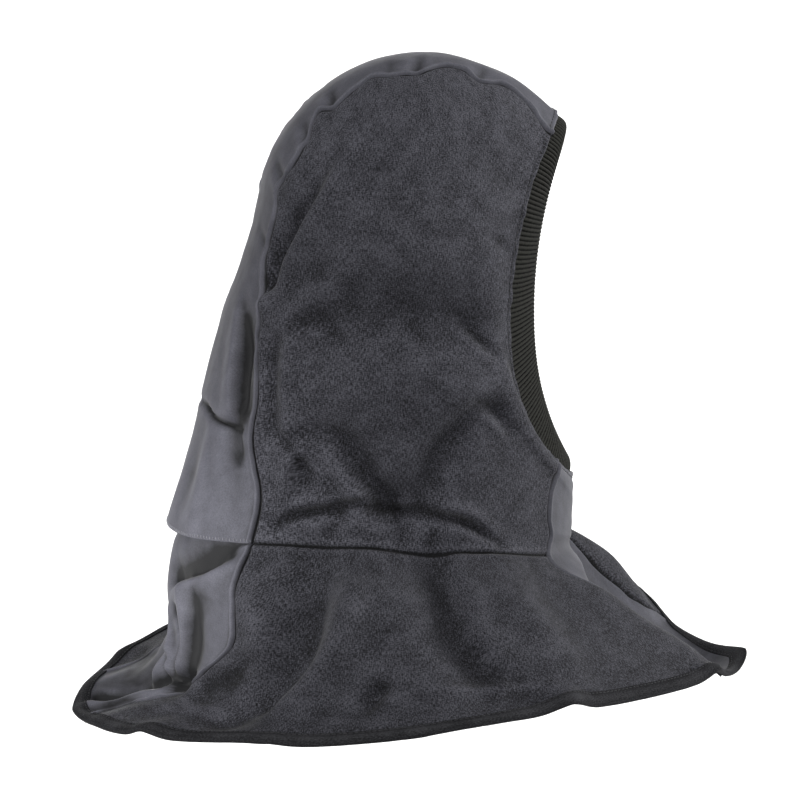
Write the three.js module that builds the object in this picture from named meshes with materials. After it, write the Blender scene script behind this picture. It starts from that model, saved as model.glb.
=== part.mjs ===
// Cloth welding hood: grey crown band, front and back panels, charcoal sides and cape,
// ribbed face cuff, bound hem.
// Millimetres, +Z up, the face opening looks along -Y, the wearer's right is -X.
// The origin is the inside of the crown band, where the hood rests on the head.
import * as THREE from "three";

// Cloth and seams
const WALL = 2.0;
const SEAM_GAP = 0.75;
const CUFF_WALL = 3.0;
const CUFF_SET_IN = 0.6;
const BINDING_HEIGHT = 9.0;
const BINDING_WALL = 1.4;
const BINDING_CLEARANCE = 0.45;
const FLAP_STAND_OFF = 8.0;
const FLAP_STARTS = 7.3;
const TUCK_DEPTH = WALL + 0.7;
const TUCK_NARROWER = 5.0;

// How finely each direction is cut into facets
const HEAD_ROWS = 24;
const CAPE_ROWS = 12;
const SIDE_COLUMNS = 22;
const BAND_COLUMNS = 8;
const FRONT_COLUMNS = 6;
const BACK_COLUMNS = 8;
const HEAD_ROWS_EVEN_AT = 0.2;
const CAPE_ROWS_EVEN_AT = 0.4;
const ARC_STEPS = 120;
const ARC_ROWS_PER_RING = 6;

// Looks of the cloths
const CLOTH_ROUGHNESS = 0.95;
const CHARCOAL_CANVAS = 0x3a3a41;
const GREY_TWILL = 0x5e5e67;
const BLACK_RIB = 0x1d1d20;
const DARK_JERSEY = 0x2a2b2b;

// The rings turn from the face opening down to the hem.
// Crown and throat are [forward, up] on the centre plane.
// half: half width. bow: how far the sides lead. widest: widest place, towards the crown.
// aft, fore: squareness of the crown half and of the throat half, 2 is an ellipse.
const RINGS = [
  {
    name: "cuff edge", crown: [114, -50], throat: [117, -271],
    half: 56, bow: 33, widest: -0.06, aft: 2.2, fore: 2.1,
  },
  {
    name: "face seam", crown: [107, -38], throat: [119, -284],
    half: 76, bow: 53, widest: -0.14, aft: 2.3, fore: 2.1,
  },
  {
    name: "brow", crown: [66, -9], throat: [121, -293],
    half: 90, bow: 48, widest: -0.06, aft: 2.4, fore: 2,
  },
  {
    name: "crown", crown: [10, 3], throat: [121, -300],
    half: 97, bow: 38, widest: 0, aft: 2.4, fore: 2,
  },
  {
    name: "vertex", crown: [-43, -15], throat: [122, -307],
    half: 100, bow: 28, widest: 0.04, aft: 2.4, fore: 1.9,
  },
  {
    name: "occiput", crown: [-83, -58], throat: [122, -314],
    half: 101, bow: 18, widest: 0.04, aft: 2.4, fore: 1.9,
  },
  {
    name: "back of head", crown: [-102, -122], throat: [123, -321],
    half: 101, bow: 8, widest: 0.02, aft: 2.4, fore: 1.8,
  },
  {
    name: "nape", crown: [-129, -203], throat: [123, -328],
    half: 101, bow: -2, widest: 0, aft: 2.4, fore: 1.8,
  },
  {
    name: "neck seam", crown: [-152, -314], throat: [124, -337],
    half: 105, bow: -14, widest: 0, aft: 2.4, fore: 1.8,
  },
  {
    name: "shoulder", crown: [-160, -354], throat: [147, -358],
    half: 138, bow: -18, widest: 0.05, aft: 2.1, fore: 1.75,
  },
  {
    name: "drape", crown: [-165, -390], throat: [187, -385],
    half: 167, bow: -19, widest: 0.09, aft: 1.85, fore: 1.7,
  },
  {
    name: "flare", crown: [-184, -421], throat: [221, -404],
    half: 186, bow: -21, widest: 0.11, aft: 1.68, fore: 1.62,
  },
  {
    name: "hem", crown: [-225, -436], throat: [249, -415],
    half: 202, bow: -26, widest: 0.12, aft: 1.6, fore: 1.55,
  },
];
const SQUARENESS_TURNS = 1.2;
const FACE = 1;
const NECK = 8;
const HEM = RINGS.length - 1;

// Seams: half width in millimetres of cloth at a ring number; the front panel is measured from the throat.
const BAND_SEAM = [
  { ring: 1, half: 42 }, { ring: 1.6, half: 36 }, { ring: 2.25, half: 41 }, { ring: 2.6, half: 35.5 },
  { ring: 3.1, half: 45.5 }, { ring: 3.6, half: 37.5 }, { ring: 4.15, half: 42 }, { ring: 4.42, half: 36.5 },
  { ring: 4.8, half: 47.5 }, { ring: 5.25, half: 42 }, { ring: 5.6, half: 44 }, { ring: 5.95, half: 42.5 },
  { ring: 6.2, half: 48 }, { ring: 6.6, half: 61 }, { ring: 7, half: 73 }, { ring: 7.3, half: 77 },
  { ring: 7.6, half: 91 }, { ring: 8, half: 95 },
];
const BACK_SEAM = [
  { ring: 8, half: 95 }, { ring: 8.75, half: 98 }, { ring: 9.2, half: 105 }, { ring: 9.65, half: 107 },
  { ring: 10.1, half: 94 }, { ring: 10.6, half: 77 }, { ring: 11, half: 66 }, { ring: 11.4, half: 50 },
  { ring: 12, half: 48 },
];
const FRONT_SEAM = [
  { ring: 1, half: 60 }, { ring: 3, half: 72 }, { ring: 6.5, half: 76 }, { ring: 7.7, half: 71 },
  { ring: 8.4, half: 82 }, { ring: 8.7, half: 82 }, { ring: 9.2, half: 73 }, { ring: 9.8, half: 65 },
  { ring: 10.6, half: 60 }, { ring: 11.3, half: 70 }, { ring: 12, half: 78 },
];
// The worn back panel is dragged towards the wearer's left near the hem, in millimetres of cloth.
const BACK_DRAG = [
  { ring: 8, drag: 0 }, { ring: 10, drag: 1 }, { ring: 10.6, drag: 5 }, { ring: 11, drag: 12 },
  { ring: 11.4, drag: 20 }, { ring: 12, drag: 20 },
];

// Folds: depth outwards and width in millimetres, left: share of the depth on the wearer's left.
// path: [ring number, share of the half ring from crown to throat, strength there].
// Shares above 1 or below 0 lie past the middle, on the wearer's left.
const FOLDS = [
  { name: "head swell", depth: 4, width: 30, left: 0.8,
    path: [[4.91, 0.29, 0.6], [3.71, 0.39, 1], [2.29, 0.42, 0.6]] },
  { name: "crown tuck", depth: 5, width: 12, left: 0.5,
    path: [[4.58, 0.203, 0.7], [4.95, 0.205, 1], [5.42, 0.193, 1], [5.85, 0.17, 1], [6.29, 0.147, 0.8]] },
  { name: "crown pit", depth: -7, width: 12, left: 0.5,
    path: [[4.69, 0.173, 0.2], [5.02, 0.177, 0.8], [5.42, 0.163, 1], [6.11, 0.143, 1]] },
  { name: "cheek hollow", depth: -8, width: 22, left: 0.8,
    path: [[5.64, 0.29, 0.4], [4.95, 0.4, 1], [4.22, 0.465, 1], [3.27, 0.51, 1], [2.84, 0.56, 0.6]] },
  { name: "cheek swell", depth: 7, width: 30, left: 0.8, path: [[6.36, 0.367, 0.8], [4.73, 0.568, 1]] },
  { name: "rear of the V", depth: -9, width: 12, left: 0.7,
    path: [[7.05, 0.318, 0.4], [7.02, 0.37, 0.8], [7.2, 0.41, 1], [7.49, 0.46, 1]] },
  { name: "front of the V", depth: -9, width: 12, left: 0.7,
    path: [[4.29, 0.64, 0.3], [5.35, 0.585, 0.7], [6.15, 0.547, 1], [7.38, 0.53, 1]] },
  { name: "neck sink", depth: -10, width: 17, left: 0.8, path: [[7.42, 0.487, 1], [7.64, 0.5, 1]] },
  { name: "neck puff aft", depth: 3.5, width: 11, left: 0.8, path: [[7.82, 0.318, 0.8], [7.75, 0.398, 1]] },
  { name: "neck puff fore", depth: 3.5, width: 11, left: 0.8, path: [[7.64, 0.56, 1], [7.67, 0.657, 0.8]] },
  { name: "nape roll", depth: 5, width: 12, left: 0.7,
    path: [[6.4, 0.198, 0.6], [5.89, 0.245, 1], [5.38, 0.29, 0.6]] },
  { name: "nape valley", depth: -4.5, width: 11, left: 0.7,
    path: [[6.51, 0.195, 0.6], [6.87, 0.217, 1], [7.16, 0.238, 0.7]] },
  { name: "band valley", depth: -9, width: 11, left: 0.6,
    path: [[6.47, 0.14, 0.3], [6.73, 0.15, 1], [6.95, 0.155, 1], [7.21, 0.14, 0.5]] },
  { name: "band ridge", depth: 4.5, width: 12, left: 0.6,
    path: [[6.47, 0.068, 0.4], [6.8, 0.09, 1], [6.98, 0.11, 1], [7.16, 0.12, 0.8]] },
  { name: "flap valley", depth: -7, width: 11, left: 0.6,
    path: [[7.31, 0.162, 0.9], [7.4, 0.176, 0.9], [7.5, 0.19, 0.2]] },
  { name: "flap ridge", depth: 4, width: 11, left: 0.6,
    path: [[7.35, 0.135, 0.6], [7.53, 0.158, 1], [7.82, 0.185, 0.7]] },
  { name: "back crease", depth: -9, width: 12, left: 0,
    path: [[8.2, 0.2, 0.4], [8.35, 0.15, 1], [8.5, 0.1, 1], [8.8, 0.04, 0.8]] },
  { name: "back fold", depth: -8, width: 12, left: 0,
    path: [[8.6, 0.16, 0.3], [8.8, 0.15, 1], [9.15, 0.148, 1], [9.68, 0.125, 1], [10.45, 0.124, 0.8]] },
  { name: "back ridge", depth: 6, width: 11, left: 0,
    path: [[8.7, 0.09, 0.5], [9.05, 0.095, 1], [9.53, 0.112, 1], [10.5, 0.108, 0.7]] },
  { name: "far back tuck", depth: -11, width: 30, left: 0,
    path: [[9.3, -0.1, 0.2], [9.8, -0.11, 0.8], [10.3, -0.11, 1], [10.7, -0.1, 0.5]] },
  { name: "back valley", depth: -9, width: 26, left: 0, path: [[10.2, 0, 1], [10.8, 0, 1], [11.3, 0, 1]] },
  { name: "train step", depth: -6, width: 11, left: 0,
    path: [[10.5, 0.118, 1], [10.62, 0.055, 1], [11, 0.004, 1], [11.6, -0.03, 0.8]] },
  { name: "back lip", depth: 5, width: 11, left: 0.8,
    path: [[9.9, 0.25, 0.4], [10.25, 0.2, 0.8], [10.6, 0.155, 1], [11.4, 0.08, 0.9], [11.8, 0.07, 0.5]] },
  { name: "cape valley", depth: -21, width: 18, left: 0.8,
    path: [[8.33, 0.375, 0.4], [9.09, 0.35, 1], [9.75, 0.318, 1], [10.4, 0.275, 1], [10.98, 0.233, 0.5]] },
  { name: "cape ridge fore", depth: 10, width: 13, left: 0.8,
    path: [[8.8, 0.408, 0.4], [9.35, 0.388, 1], [9.89, 0.348, 1], [10.65, 0.3, 1]] },
  { name: "cape ridge aft", depth: 8, width: 13, left: 0.8,
    path: [[8.69, 0.268, 0.4], [9.56, 0.26, 1], [10.07, 0.247, 1], [10.76, 0.21, 0.6]] },
  { name: "cape bend", depth: -17, width: 17, left: 0.8,
    path: [[8.25, 0.568, 0.8], [8.98, 0.555, 1], [9.53, 0.537, 1], [10.07, 0.54, 0.9],
      [10.4, 0.562, 0.3]] },
  { name: "cape swell", depth: 7, width: 20, left: 0.8,
    path: [[8.47, 0.682, 0.7], [9.42, 0.647, 1], [10.22, 0.642, 0.7]] },
  { name: "cape dimple", depth: -5, width: 11, left: 0.5, path: [[10.51, 0.408, 1], [10.76, 0.393, 1]] },
  { name: "hem sag", depth: -6, width: 16, left: 0.8,
    path: [[12, 0.315, 0.3], [12, 0.35, 0.9], [12, 0.41, 1], [12, 0.47, 0.8], [12, 0.53, 0.3]] },
  { name: "hem notch", depth: 11, width: 14, left: 0.5,
    path: [[11.2, 0.645, 0.2], [11.7, 0.63, 0.8], [12, 0.622, 1]] },
  { name: "hem rise aft", depth: 5, width: 14, left: 0.5, path: [[11.5, 0.17, 0.4], [12, 0.165, 1]] },
  { name: "hem rise fore", depth: 6, width: 12, left: 0.5, path: [[11.6, 0.85, 0.4], [12, 0.85, 1]] },
  { name: "front ridge", depth: 10, width: 18, left: 1,
    path: [[8.62, 0.785, 0.3], [9.2, 0.826, 0.9], [9.8, 0.858, 1], [10.65, 0.886, 1], [11.3, 0.88, 0.5]] },
  { name: "front valley", depth: -46, width: 46, left: 0,
    path: [[8.2, 1, 0.1], [8.7, 1, 0.5], [9.3, 1, 1], [10.3, 1, 1], [11.2, 1, 0.6], [12, 1, 0.1]] },
  { name: "far front ridge", depth: 22, width: 22, left: 0,
    path: [[8.5, 1.2, 0.1], [9.3, 1.19, 0.7], [10.3, 1.18, 1.1], [11.3, 1.17, 0.8]] },
];
const FOLD_STEPS = 4;
const FOLDS_FADE_OVER = 0.7;

// Small helpers
const clamp = (v, low, high) => Math.min(Math.max(v, low), high);
const lerp = (a, b, u) => a + (b - a) * u;
const smooth = (v) => {
  const u = clamp(v, 0, 1);
  return u * u * (3 - 2 * u);
};

function lookUp(rows, column, ring) {
  const last = rows.length - 1;
  if (ring <= rows[0].ring) return rows[0][column];
  if (ring >= rows[last].ring) return rows[last][column];
  const i = rows.findIndex((row) => row.ring > ring) - 1;
  const [low, high] = [rows[i], rows[i + 1]];
  return lerp(low[column], high[column], (ring - low.ring) / (high.ring - low.ring));
}

// The plain surface: a curve through the ring table gives the ring at any real ring number
const RING_COLUMNS = RINGS.map((r) => [...r.crown, ...r.throat, r.half, r.bow, r.widest, r.aft, r.fore]);

function ringAt(k) {
  const i = Math.min(Math.floor(clamp(k, 0, HEM)), HEM - 1);
  const u = clamp(k, 0, HEM) - i;
  const b = RING_COLUMNS[i];
  const c = RING_COLUMNS[i + 1];
  const a = i > 0 ? RING_COLUMNS[i - 1] : b.map((v, n) => 2 * v - c[n]);
  const d = i + 2 <= HEM ? RING_COLUMNS[i + 2] : c.map((v, n) => 2 * v - b[n]);
  return b.map((v, n) => 0.5 * (
    2 * v + (c[n] - a[n]) * u + (2 * a[n] - 5 * v + 4 * c[n] - d[n]) * u * u
    + (3 * v - a[n] - 3 * c[n] + d[n]) * u * u * u));
}

function ringPoint(ring, angle) {
  const [crownF, crownU, throatF, throatU, half, bow, widest, aft, fore] = ring;
  const towardsThroat = 0.5 - 0.5 * clamp(SQUARENESS_TURNS * Math.cos(angle), -1, 1);
  const square = lerp(aft, fore, smooth(towardsThroat));
  const power = (v) => Math.sign(v) * Math.abs(v) ** (2 / square);
  const c = power(Math.cos(angle));
  const s = power(Math.sin(angle));
  const along = c + widest * (1 - c * c);
  const f = (crownF - throatF) / 2;
  const u = (crownU - throatU) / 2;
  const lead = bow * s * s / Math.hypot(f, u);
  const forward = (crownF + throatF) / 2 + f * along - u * lead;
  const up = (crownU + throatU) / 2 + u * along + f * lead;
  return new THREE.Vector3(half * s, -forward, up);
}

// Share of the half ring's length to ring angle, kept for a row of rings
const ARCS = Array.from({ length: HEM * ARC_ROWS_PER_RING + 1 }, (_, row) => {
  const ring = ringAt(row / ARC_ROWS_PER_RING);
  const lengths = [0];
  let before = ringPoint(ring, 0);
  for (let i = 1; i <= ARC_STEPS; i += 1) {
    const here = ringPoint(ring, Math.PI * i / ARC_STEPS);
    lengths.push(lengths[i - 1] + here.distanceTo(before));
    before = here;
  }
  return lengths;
});

function angleInRow(lengths, share) {
  const wanted = share * lengths[ARC_STEPS];
  let low = 0;
  let high = ARC_STEPS;
  while (high - low > 1) {
    const middle = (low + high) >> 1;
    if (lengths[middle] <= wanted) low = middle;
    else high = middle;
  }
  const part = (wanted - lengths[low]) / Math.max(lengths[high] - lengths[low], 1e-9);
  return Math.PI * (low + part) / ARC_STEPS;
}

function arcRow(k) {
  const place = clamp(k, 0, HEM) * ARC_ROWS_PER_RING;
  const row = Math.min(Math.floor(place), ARCS.length - 2);
  return [row, place - row];
}

function halfLength(k) {
  const [row, u] = arcRow(k);
  return lerp(ARCS[row][ARC_STEPS], ARCS[row + 1][ARC_STEPS], u);
}

function plain(k, t) {
  const turned = t - 2 * Math.round(t / 2);
  const [row, u] = arcRow(k);
  const share = Math.abs(turned);
  const angle = lerp(angleInRow(ARCS[row], share), angleInRow(ARCS[row + 1], share), u);
  return ringPoint(ringAt(k), turned < 0 ? -angle : angle);
}

function outwards(of, k, t) {
  const dk = 0.02;
  const dt = 0.004;
  const along = of(Math.min(k + dk, HEM), t).sub(of(Math.max(k - dk, 0), t));
  const around = of(k, t + dt).sub(of(k, t - dt));
  return around.cross(along).normalize();
}

// Folds pressed into the plain surface, each as a line of places with its depth there
function foldLine(path, side, depth) {
  return path.flatMap(([ring, share, strength], i) => {
    const [ringBefore, shareBefore, strengthBefore] = path[Math.max(i - 1, 0)];
    return Array.from({ length: i === 0 ? 1 : FOLD_STEPS }, (_, n) => {
      const u = (n + 1) / FOLD_STEPS;
      return {
        at: plain(lerp(ringBefore, ring, u), side * lerp(shareBefore, share, u)),
        depth: depth * lerp(strengthBefore, strength, u),
      };
    });
  });
}

const FOLD_LINES = FOLDS.flatMap(({ depth, width, left, path }) => {
  const right = { width, places: foldLine(path, -1, depth) };
  return left > 0 ? [right, { width, places: foldLine(path, 1, depth * left) }] : [right];
});

function foldHeight(point, { width, places }) {
  let nearest = Infinity;
  let depth = 0;
  for (let i = 1; i < places.length; i += 1) {
    const run = places[i].at.clone().sub(places[i - 1].at);
    const to = point.clone().sub(places[i - 1].at);
    const u = clamp(to.dot(run) / Math.max(run.lengthSq(), 1e-9), 0, 1);
    const away = to.addScaledVector(run, -u).length();
    if (away < nearest) {
      nearest = away;
      depth = lerp(places[i - 1].depth, places[i].depth, u);
    }
  }
  return depth * Math.exp(-((nearest / width) ** 2));
}

function surface(k, t) {
  const point = plain(k, t);
  const height = FOLD_LINES.reduce((sum, fold) => sum + foldHeight(point, fold), 0);
  return point.addScaledVector(outwards(plain, k, t), height * smooth((k - FACE) / FOLDS_FADE_OVER));
}

function cloth(k, t) {
  return { at: surface(k, t), out: outwards(surface, k, t) };
}

const off = ({ at, out }, height) => at.clone().addScaledVector(out, height);

// Rows and columns shared by neighbouring panels, so that their edges run side by side
function evenRows(from, to, t, count) {
  const fine = 200;
  const lengths = [0];
  for (let i = 1; i <= fine; i += 1) {
    const step = plain(lerp(from, to, i / fine), t).distanceTo(plain(lerp(from, to, (i - 1) / fine), t));
    lengths.push(lengths[i - 1] + step);
  }
  return Array.from({ length: count + 1 }, (_, row) => {
    const i = lengths.findIndex((l) => l >= lengths[fine] * row / count - 1e-9);
    return lerp(from, to, i / fine);
  });
}

const HEAD_K = evenRows(FACE, NECK, HEAD_ROWS_EVEN_AT, HEAD_ROWS);
const CAPE_K = evenRows(NECK, HEM, CAPE_ROWS_EVEN_AT, CAPE_ROWS - 1);
const CAPE_V = CAPE_K.map((k) => (k - NECK) / (HEM - NECK));

function trim(t) {
  return BINDING_HEIGHT / plain(HEM, t).distanceTo(plain(HEM - 1, t));
}

function capeRow(row, t) {
  return row === CAPE_ROWS ? HEM : lerp(NECK, HEM - trim(t), CAPE_V[row]);
}

function gapInRings(k, t) {
  const step = 0.05;
  return SEAM_GAP * step / plain(k + step, t).distanceTo(plain(k - step, t));
}

// Each panel's column number goes to a signed share of the half ring at ring k
const bandHalf = (k) => lookUp(k <= NECK ? BAND_SEAM : BACK_SEAM, "half", k);
const spans = {
  middle: (k, inset) => {
    const drag = lookUp(BACK_DRAG, "drag", k);
    const half = bandHalf(k) - inset;
    return [(drag - half) / halfLength(k), (drag + half) / halfLength(k)];
  },
  front: (k, inset) => {
    const half = (lookUp(FRONT_SEAM, "half", k) - inset) / halfLength(k);
    return [1 - half, 1 + half];
  },
  right: (k, inset) => [spans.front(k, -inset)[1] - 2, spans.middle(k, -inset)[0]],
  left: (k, inset) => [spans.middle(k, -inset)[1], spans.front(k, -inset)[0]],
};

function shareAt(span, k, column, columns, inset = SEAM_GAP / 2) {
  const [from, to] = spans[span](k, inset);
  return lerp(from, to, column / columns);
}

// A ring-shaped mesh from a grid of sections; turned strips have their facets cut along the other diagonal
function ringMesh(name, colour, grid, turnedStrips = []) {
  const rows = grid.length;
  const columns = grid[0].length;
  const positions = grid.flat().flatMap((p) => [p.x, p.y, p.z]);
  const index = [];
  for (let i = 0; i < rows; i += 1) {
    for (let j = 0; j < columns; j += 1) {
      const a = i * columns + j;
      const b = i * columns + (j + 1) % columns;
      const c = ((i + 1) % rows) * columns + (j + 1) % columns;
      const d = ((i + 1) % rows) * columns + j;
      if (turnedStrips.includes(j)) index.push(a, b, d, b, c, d);
      else index.push(a, b, c, a, c, d);
    }
  }
  return finish(name, colour, positions, index);
}

function finish(name, colour, positions, index) {
  const geometry = new THREE.BufferGeometry();
  geometry.setAttribute("position", new THREE.Float32BufferAttribute(positions, 3));
  geometry.setIndex(index);
  geometry.computeVertexNormals();
  const material = new THREE.MeshStandardMaterial({ color: colour, roughness: CLOTH_ROUGHNESS });
  const mesh = new THREE.Mesh(geometry, material);
  mesh.name = name;
  return mesh;
}

// A panel is an outer and an inner sheet of cloth joined round the rim
function panel(name, colour, rows, columns, place, lift = () => 0, wall = WALL) {
  const outer = [];
  const inner = [];
  for (let i = 0; i <= rows; i += 1) {
    for (let j = 0; j <= columns; j += 1) {
      const [k, t] = place(i, j);
      const sheet = cloth(k, t);
      const height = lift(k, t);
      outer.push(off(sheet, height));
      inner.push(off(sheet, height - wall));
    }
  }
  const across = columns + 1;
  const under = outer.length;
  const index = [];
  for (let i = 0; i < rows; i += 1) {
    for (let j = 0; j < columns; j += 1) {
      const a = i * across + j;
      const [b, c, d] = [a + 1, a + across + 1, a + across];
      index.push(a, b, c, a, c, d, under + a, under + c, under + b, under + a, under + d, under + c);
    }
  }
  const rim = [];
  for (let j = 0; j < columns; j += 1) rim.push(j);
  for (let i = 0; i < rows; i += 1) rim.push(i * across + columns);
  for (let j = columns; j > 0; j -= 1) rim.push(rows * across + j);
  for (let i = rows; i > 0; i -= 1) rim.push(i * across);
  rim.forEach((a, n) => {
    const b = rim[(n + 1) % rim.length];
    index.push(a, under + b, b, a, under + a, under + b);
  });
  const positions = [...outer, ...inner].flatMap((p) => [p.x, p.y, p.z]);
  return finish(name, colour, positions, index);
}

// Rows of the upper part, held off the face seam and the neck seam by half a gap
function headRow(row, span, column, columns) {
  const k = HEAD_K[row];
  const t = shareAt(span, k, column, columns);
  if (row === 0) return [k + gapInRings(k, t), t];
  if (row === HEAD_ROWS) return [k - gapInRings(k, t), t];
  return [k, t];
}

function capePlace(row, span, column, columns, inset = SEAM_GAP / 2) {
  const near = CAPE_K[Math.min(row, CAPE_ROWS - 1)];
  const k = capeRow(row, shareAt(span, near, column, columns, inset));
  const t = shareAt(span, k, column, columns, inset);
  return row === 0 ? [k + gapInRings(k, t), t] : [k, t];
}

function sidePanel(name, span) {
  const place = (i, j) => headRow(i, span, j, SIDE_COLUMNS);
  return panel(name, CHARCOAL_CANVAS, HEAD_ROWS, SIDE_COLUMNS, place);
}

function cape(name, span) {
  const place = (i, j) => capePlace(i, span, j, SIDE_COLUMNS);
  return panel(name, CHARCOAL_CANVAS, CAPE_ROWS, SIDE_COLUMNS, place);
}

// The band ends in a loose flap that stands off the back panel
function flapHeight(k, t) {
  const share = Math.abs(t) * halfLength(k) / bandHalf(k);
  return FLAP_STAND_OFF * smooth((k - FLAP_STARTS) / (NECK - FLAP_STARTS)) * (1 - clamp(share, 0, 1) ** 2);
}

function crownBand() {
  const place = (i, j) => headRow(i, "middle", j, BAND_COLUMNS);
  return panel("crown_band", GREY_TWILL, HEAD_ROWS, BAND_COLUMNS, place, flapHeight);
}

function frontPanel() {
  const place = (i, j) => {
    if (i >= HEAD_ROWS) {
      const [k, t] = capePlace(i - HEAD_ROWS, "front", j, FRONT_COLUMNS);
      return i === HEAD_ROWS ? [NECK, t] : [k, t];
    }
    return headRow(i, "front", j, FRONT_COLUMNS);
  };
  return panel("front_panel", GREY_TWILL, HEAD_ROWS + CAPE_ROWS, FRONT_COLUMNS, place);
}

// The back panel starts under the flap and comes out below it
const TUCK_ROWS = [7.76, 7.88];
const TUCK_REACHES = 0.02;

function backPanel() {
  const place = (i, j) => {
    if (i >= TUCK_ROWS.length) return capePlace(i - TUCK_ROWS.length, "middle", j, BACK_COLUMNS);
    const half = (bandHalf(NECK) - TUCK_NARROWER) / halfLength(TUCK_ROWS[i]);
    return [TUCK_ROWS[i], lerp(-half, half, j / BACK_COLUMNS)];
  };
  const underFlap = NECK + TUCK_REACHES;
  const firstRow = capeRow(1, 0);
  const lift = (k) => -TUCK_DEPTH * (1 - smooth((k - underFlap) / (firstRow - underFlap)));
  return panel("back_panel", GREY_TWILL, CAPE_ROWS + TUCK_ROWS.length, BACK_COLUMNS, place, lift);
}

// Columns all round: middle, left side, front and right side, each seam once
function allRound(middleColumns, each) {
  const left = ["left", SIDE_COLUMNS];
  const right = ["right", SIDE_COLUMNS];
  return [["middle", middleColumns], left, ["front", FRONT_COLUMNS], right].flatMap(([span, columns]) => (
    Array.from({ length: columns }, (_, j) => each(span, j, columns))));
}

// The cuff is a doubled band of rib knit with a rounded free edge
function faceCuff() {
  const section = [
    { ring: 1, depth: 0 }, { ring: 0.6, depth: 0 }, { ring: 0.15, depth: 0.1 }, { ring: 0, depth: 0.5 },
    { ring: 0.15, depth: 0.9 }, { ring: 0.6, depth: 1 }, { ring: 1, depth: 1 },
  ];
  const grid = allRound(BAND_COLUMNS, (span, j, columns) => {
    const t = shareAt(span, FACE, j, columns, 0);
    return section.map(({ ring, depth }) => {
      const k = ring === 1 ? FACE - gapInRings(FACE, t) : ring;
      return off(cloth(k, t), -CUFF_SET_IN - CUFF_WALL * depth);
    });
  });
  return ringMesh("face_cuff", BLACK_RIB, grid);
}

// The binding is a strip folded over the raw hem
function hemBinding() {
  const outside = BINDING_CLEARANCE + BINDING_WALL;
  const grid = allRound(BACK_COLUMNS, (span, j, columns) => {
    const inset = j === 0 ? 0 : SEAM_GAP / 2;
    const top = cloth(...capePlace(CAPE_ROWS - 1, span, j, columns, inset));
    const hem = cloth(...capePlace(CAPE_ROWS, span, j, columns, inset));
    const down = hem.at.clone().sub(top.at).normalize();
    const below = (length, height) => off(hem, height).addScaledVector(down, length);
    return [
      off(top, BINDING_CLEARANCE), below(BINDING_CLEARANCE, BINDING_CLEARANCE),
      below(BINDING_CLEARANCE, -WALL - BINDING_CLEARANCE), off(top, -WALL - BINDING_CLEARANCE),
      off(top, -WALL - outside), below(0, -WALL - outside),
      below(outside, -WALL - BINDING_CLEARANCE), below(outside, BINDING_CLEARANCE),
      below(0, outside), off(top, outside),
    ];
  });
  const slotFloorAndInside = [1, 2];
  return ringMesh("hem_binding", DARK_JERSEY, grid, slotFloorAndInside);
}

const hood = new THREE.Group();
hood.name = "welding_hood";
hood.add(
  crownBand(),
  sidePanel("side_panel_right", "right"),
  sidePanel("side_panel_left", "left"),
  frontPanel(),
  backPanel(),
  cape("cape_right", "right"),
  cape("cape_left", "left"),
  faceCuff(),
  hemBinding(),
);

export default hood;
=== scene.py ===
"""Dresses the cloth welding hood: folded canvas and twill panels, rib-knit cuff, bound hem and stitches."""

import math
from collections import namedtuple

import bpy
import numpy as np
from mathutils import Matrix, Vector


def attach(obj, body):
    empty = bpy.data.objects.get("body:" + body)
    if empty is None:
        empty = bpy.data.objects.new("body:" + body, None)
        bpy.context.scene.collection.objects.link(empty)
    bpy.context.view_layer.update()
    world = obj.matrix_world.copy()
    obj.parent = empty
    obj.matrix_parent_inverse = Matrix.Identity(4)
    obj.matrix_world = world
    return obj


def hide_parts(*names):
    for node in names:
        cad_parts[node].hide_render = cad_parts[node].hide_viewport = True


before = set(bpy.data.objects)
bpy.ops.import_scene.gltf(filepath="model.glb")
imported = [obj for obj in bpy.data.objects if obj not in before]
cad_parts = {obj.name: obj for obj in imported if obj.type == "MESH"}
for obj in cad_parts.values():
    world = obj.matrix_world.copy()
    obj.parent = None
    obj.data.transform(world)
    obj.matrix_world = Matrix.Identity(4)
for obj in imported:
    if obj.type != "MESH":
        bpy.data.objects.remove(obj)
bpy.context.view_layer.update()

bl_info = {
    "name": "Cloth welding hood",
    "version": (1, 0, 0),
    "blender": (4, 5, 0),
    "location": "View3D > Sidebar > Hood",
    "description": "Dresses the packed welding hood in folded cloth, rib knit, binding and stitches",
    "category": "Object",
}

# Shapes are worked out in millimetres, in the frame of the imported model: +Z up, face opening towards -Y,
# wearer's right towards -X. Blender takes metres.
MM = 0.001

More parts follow.
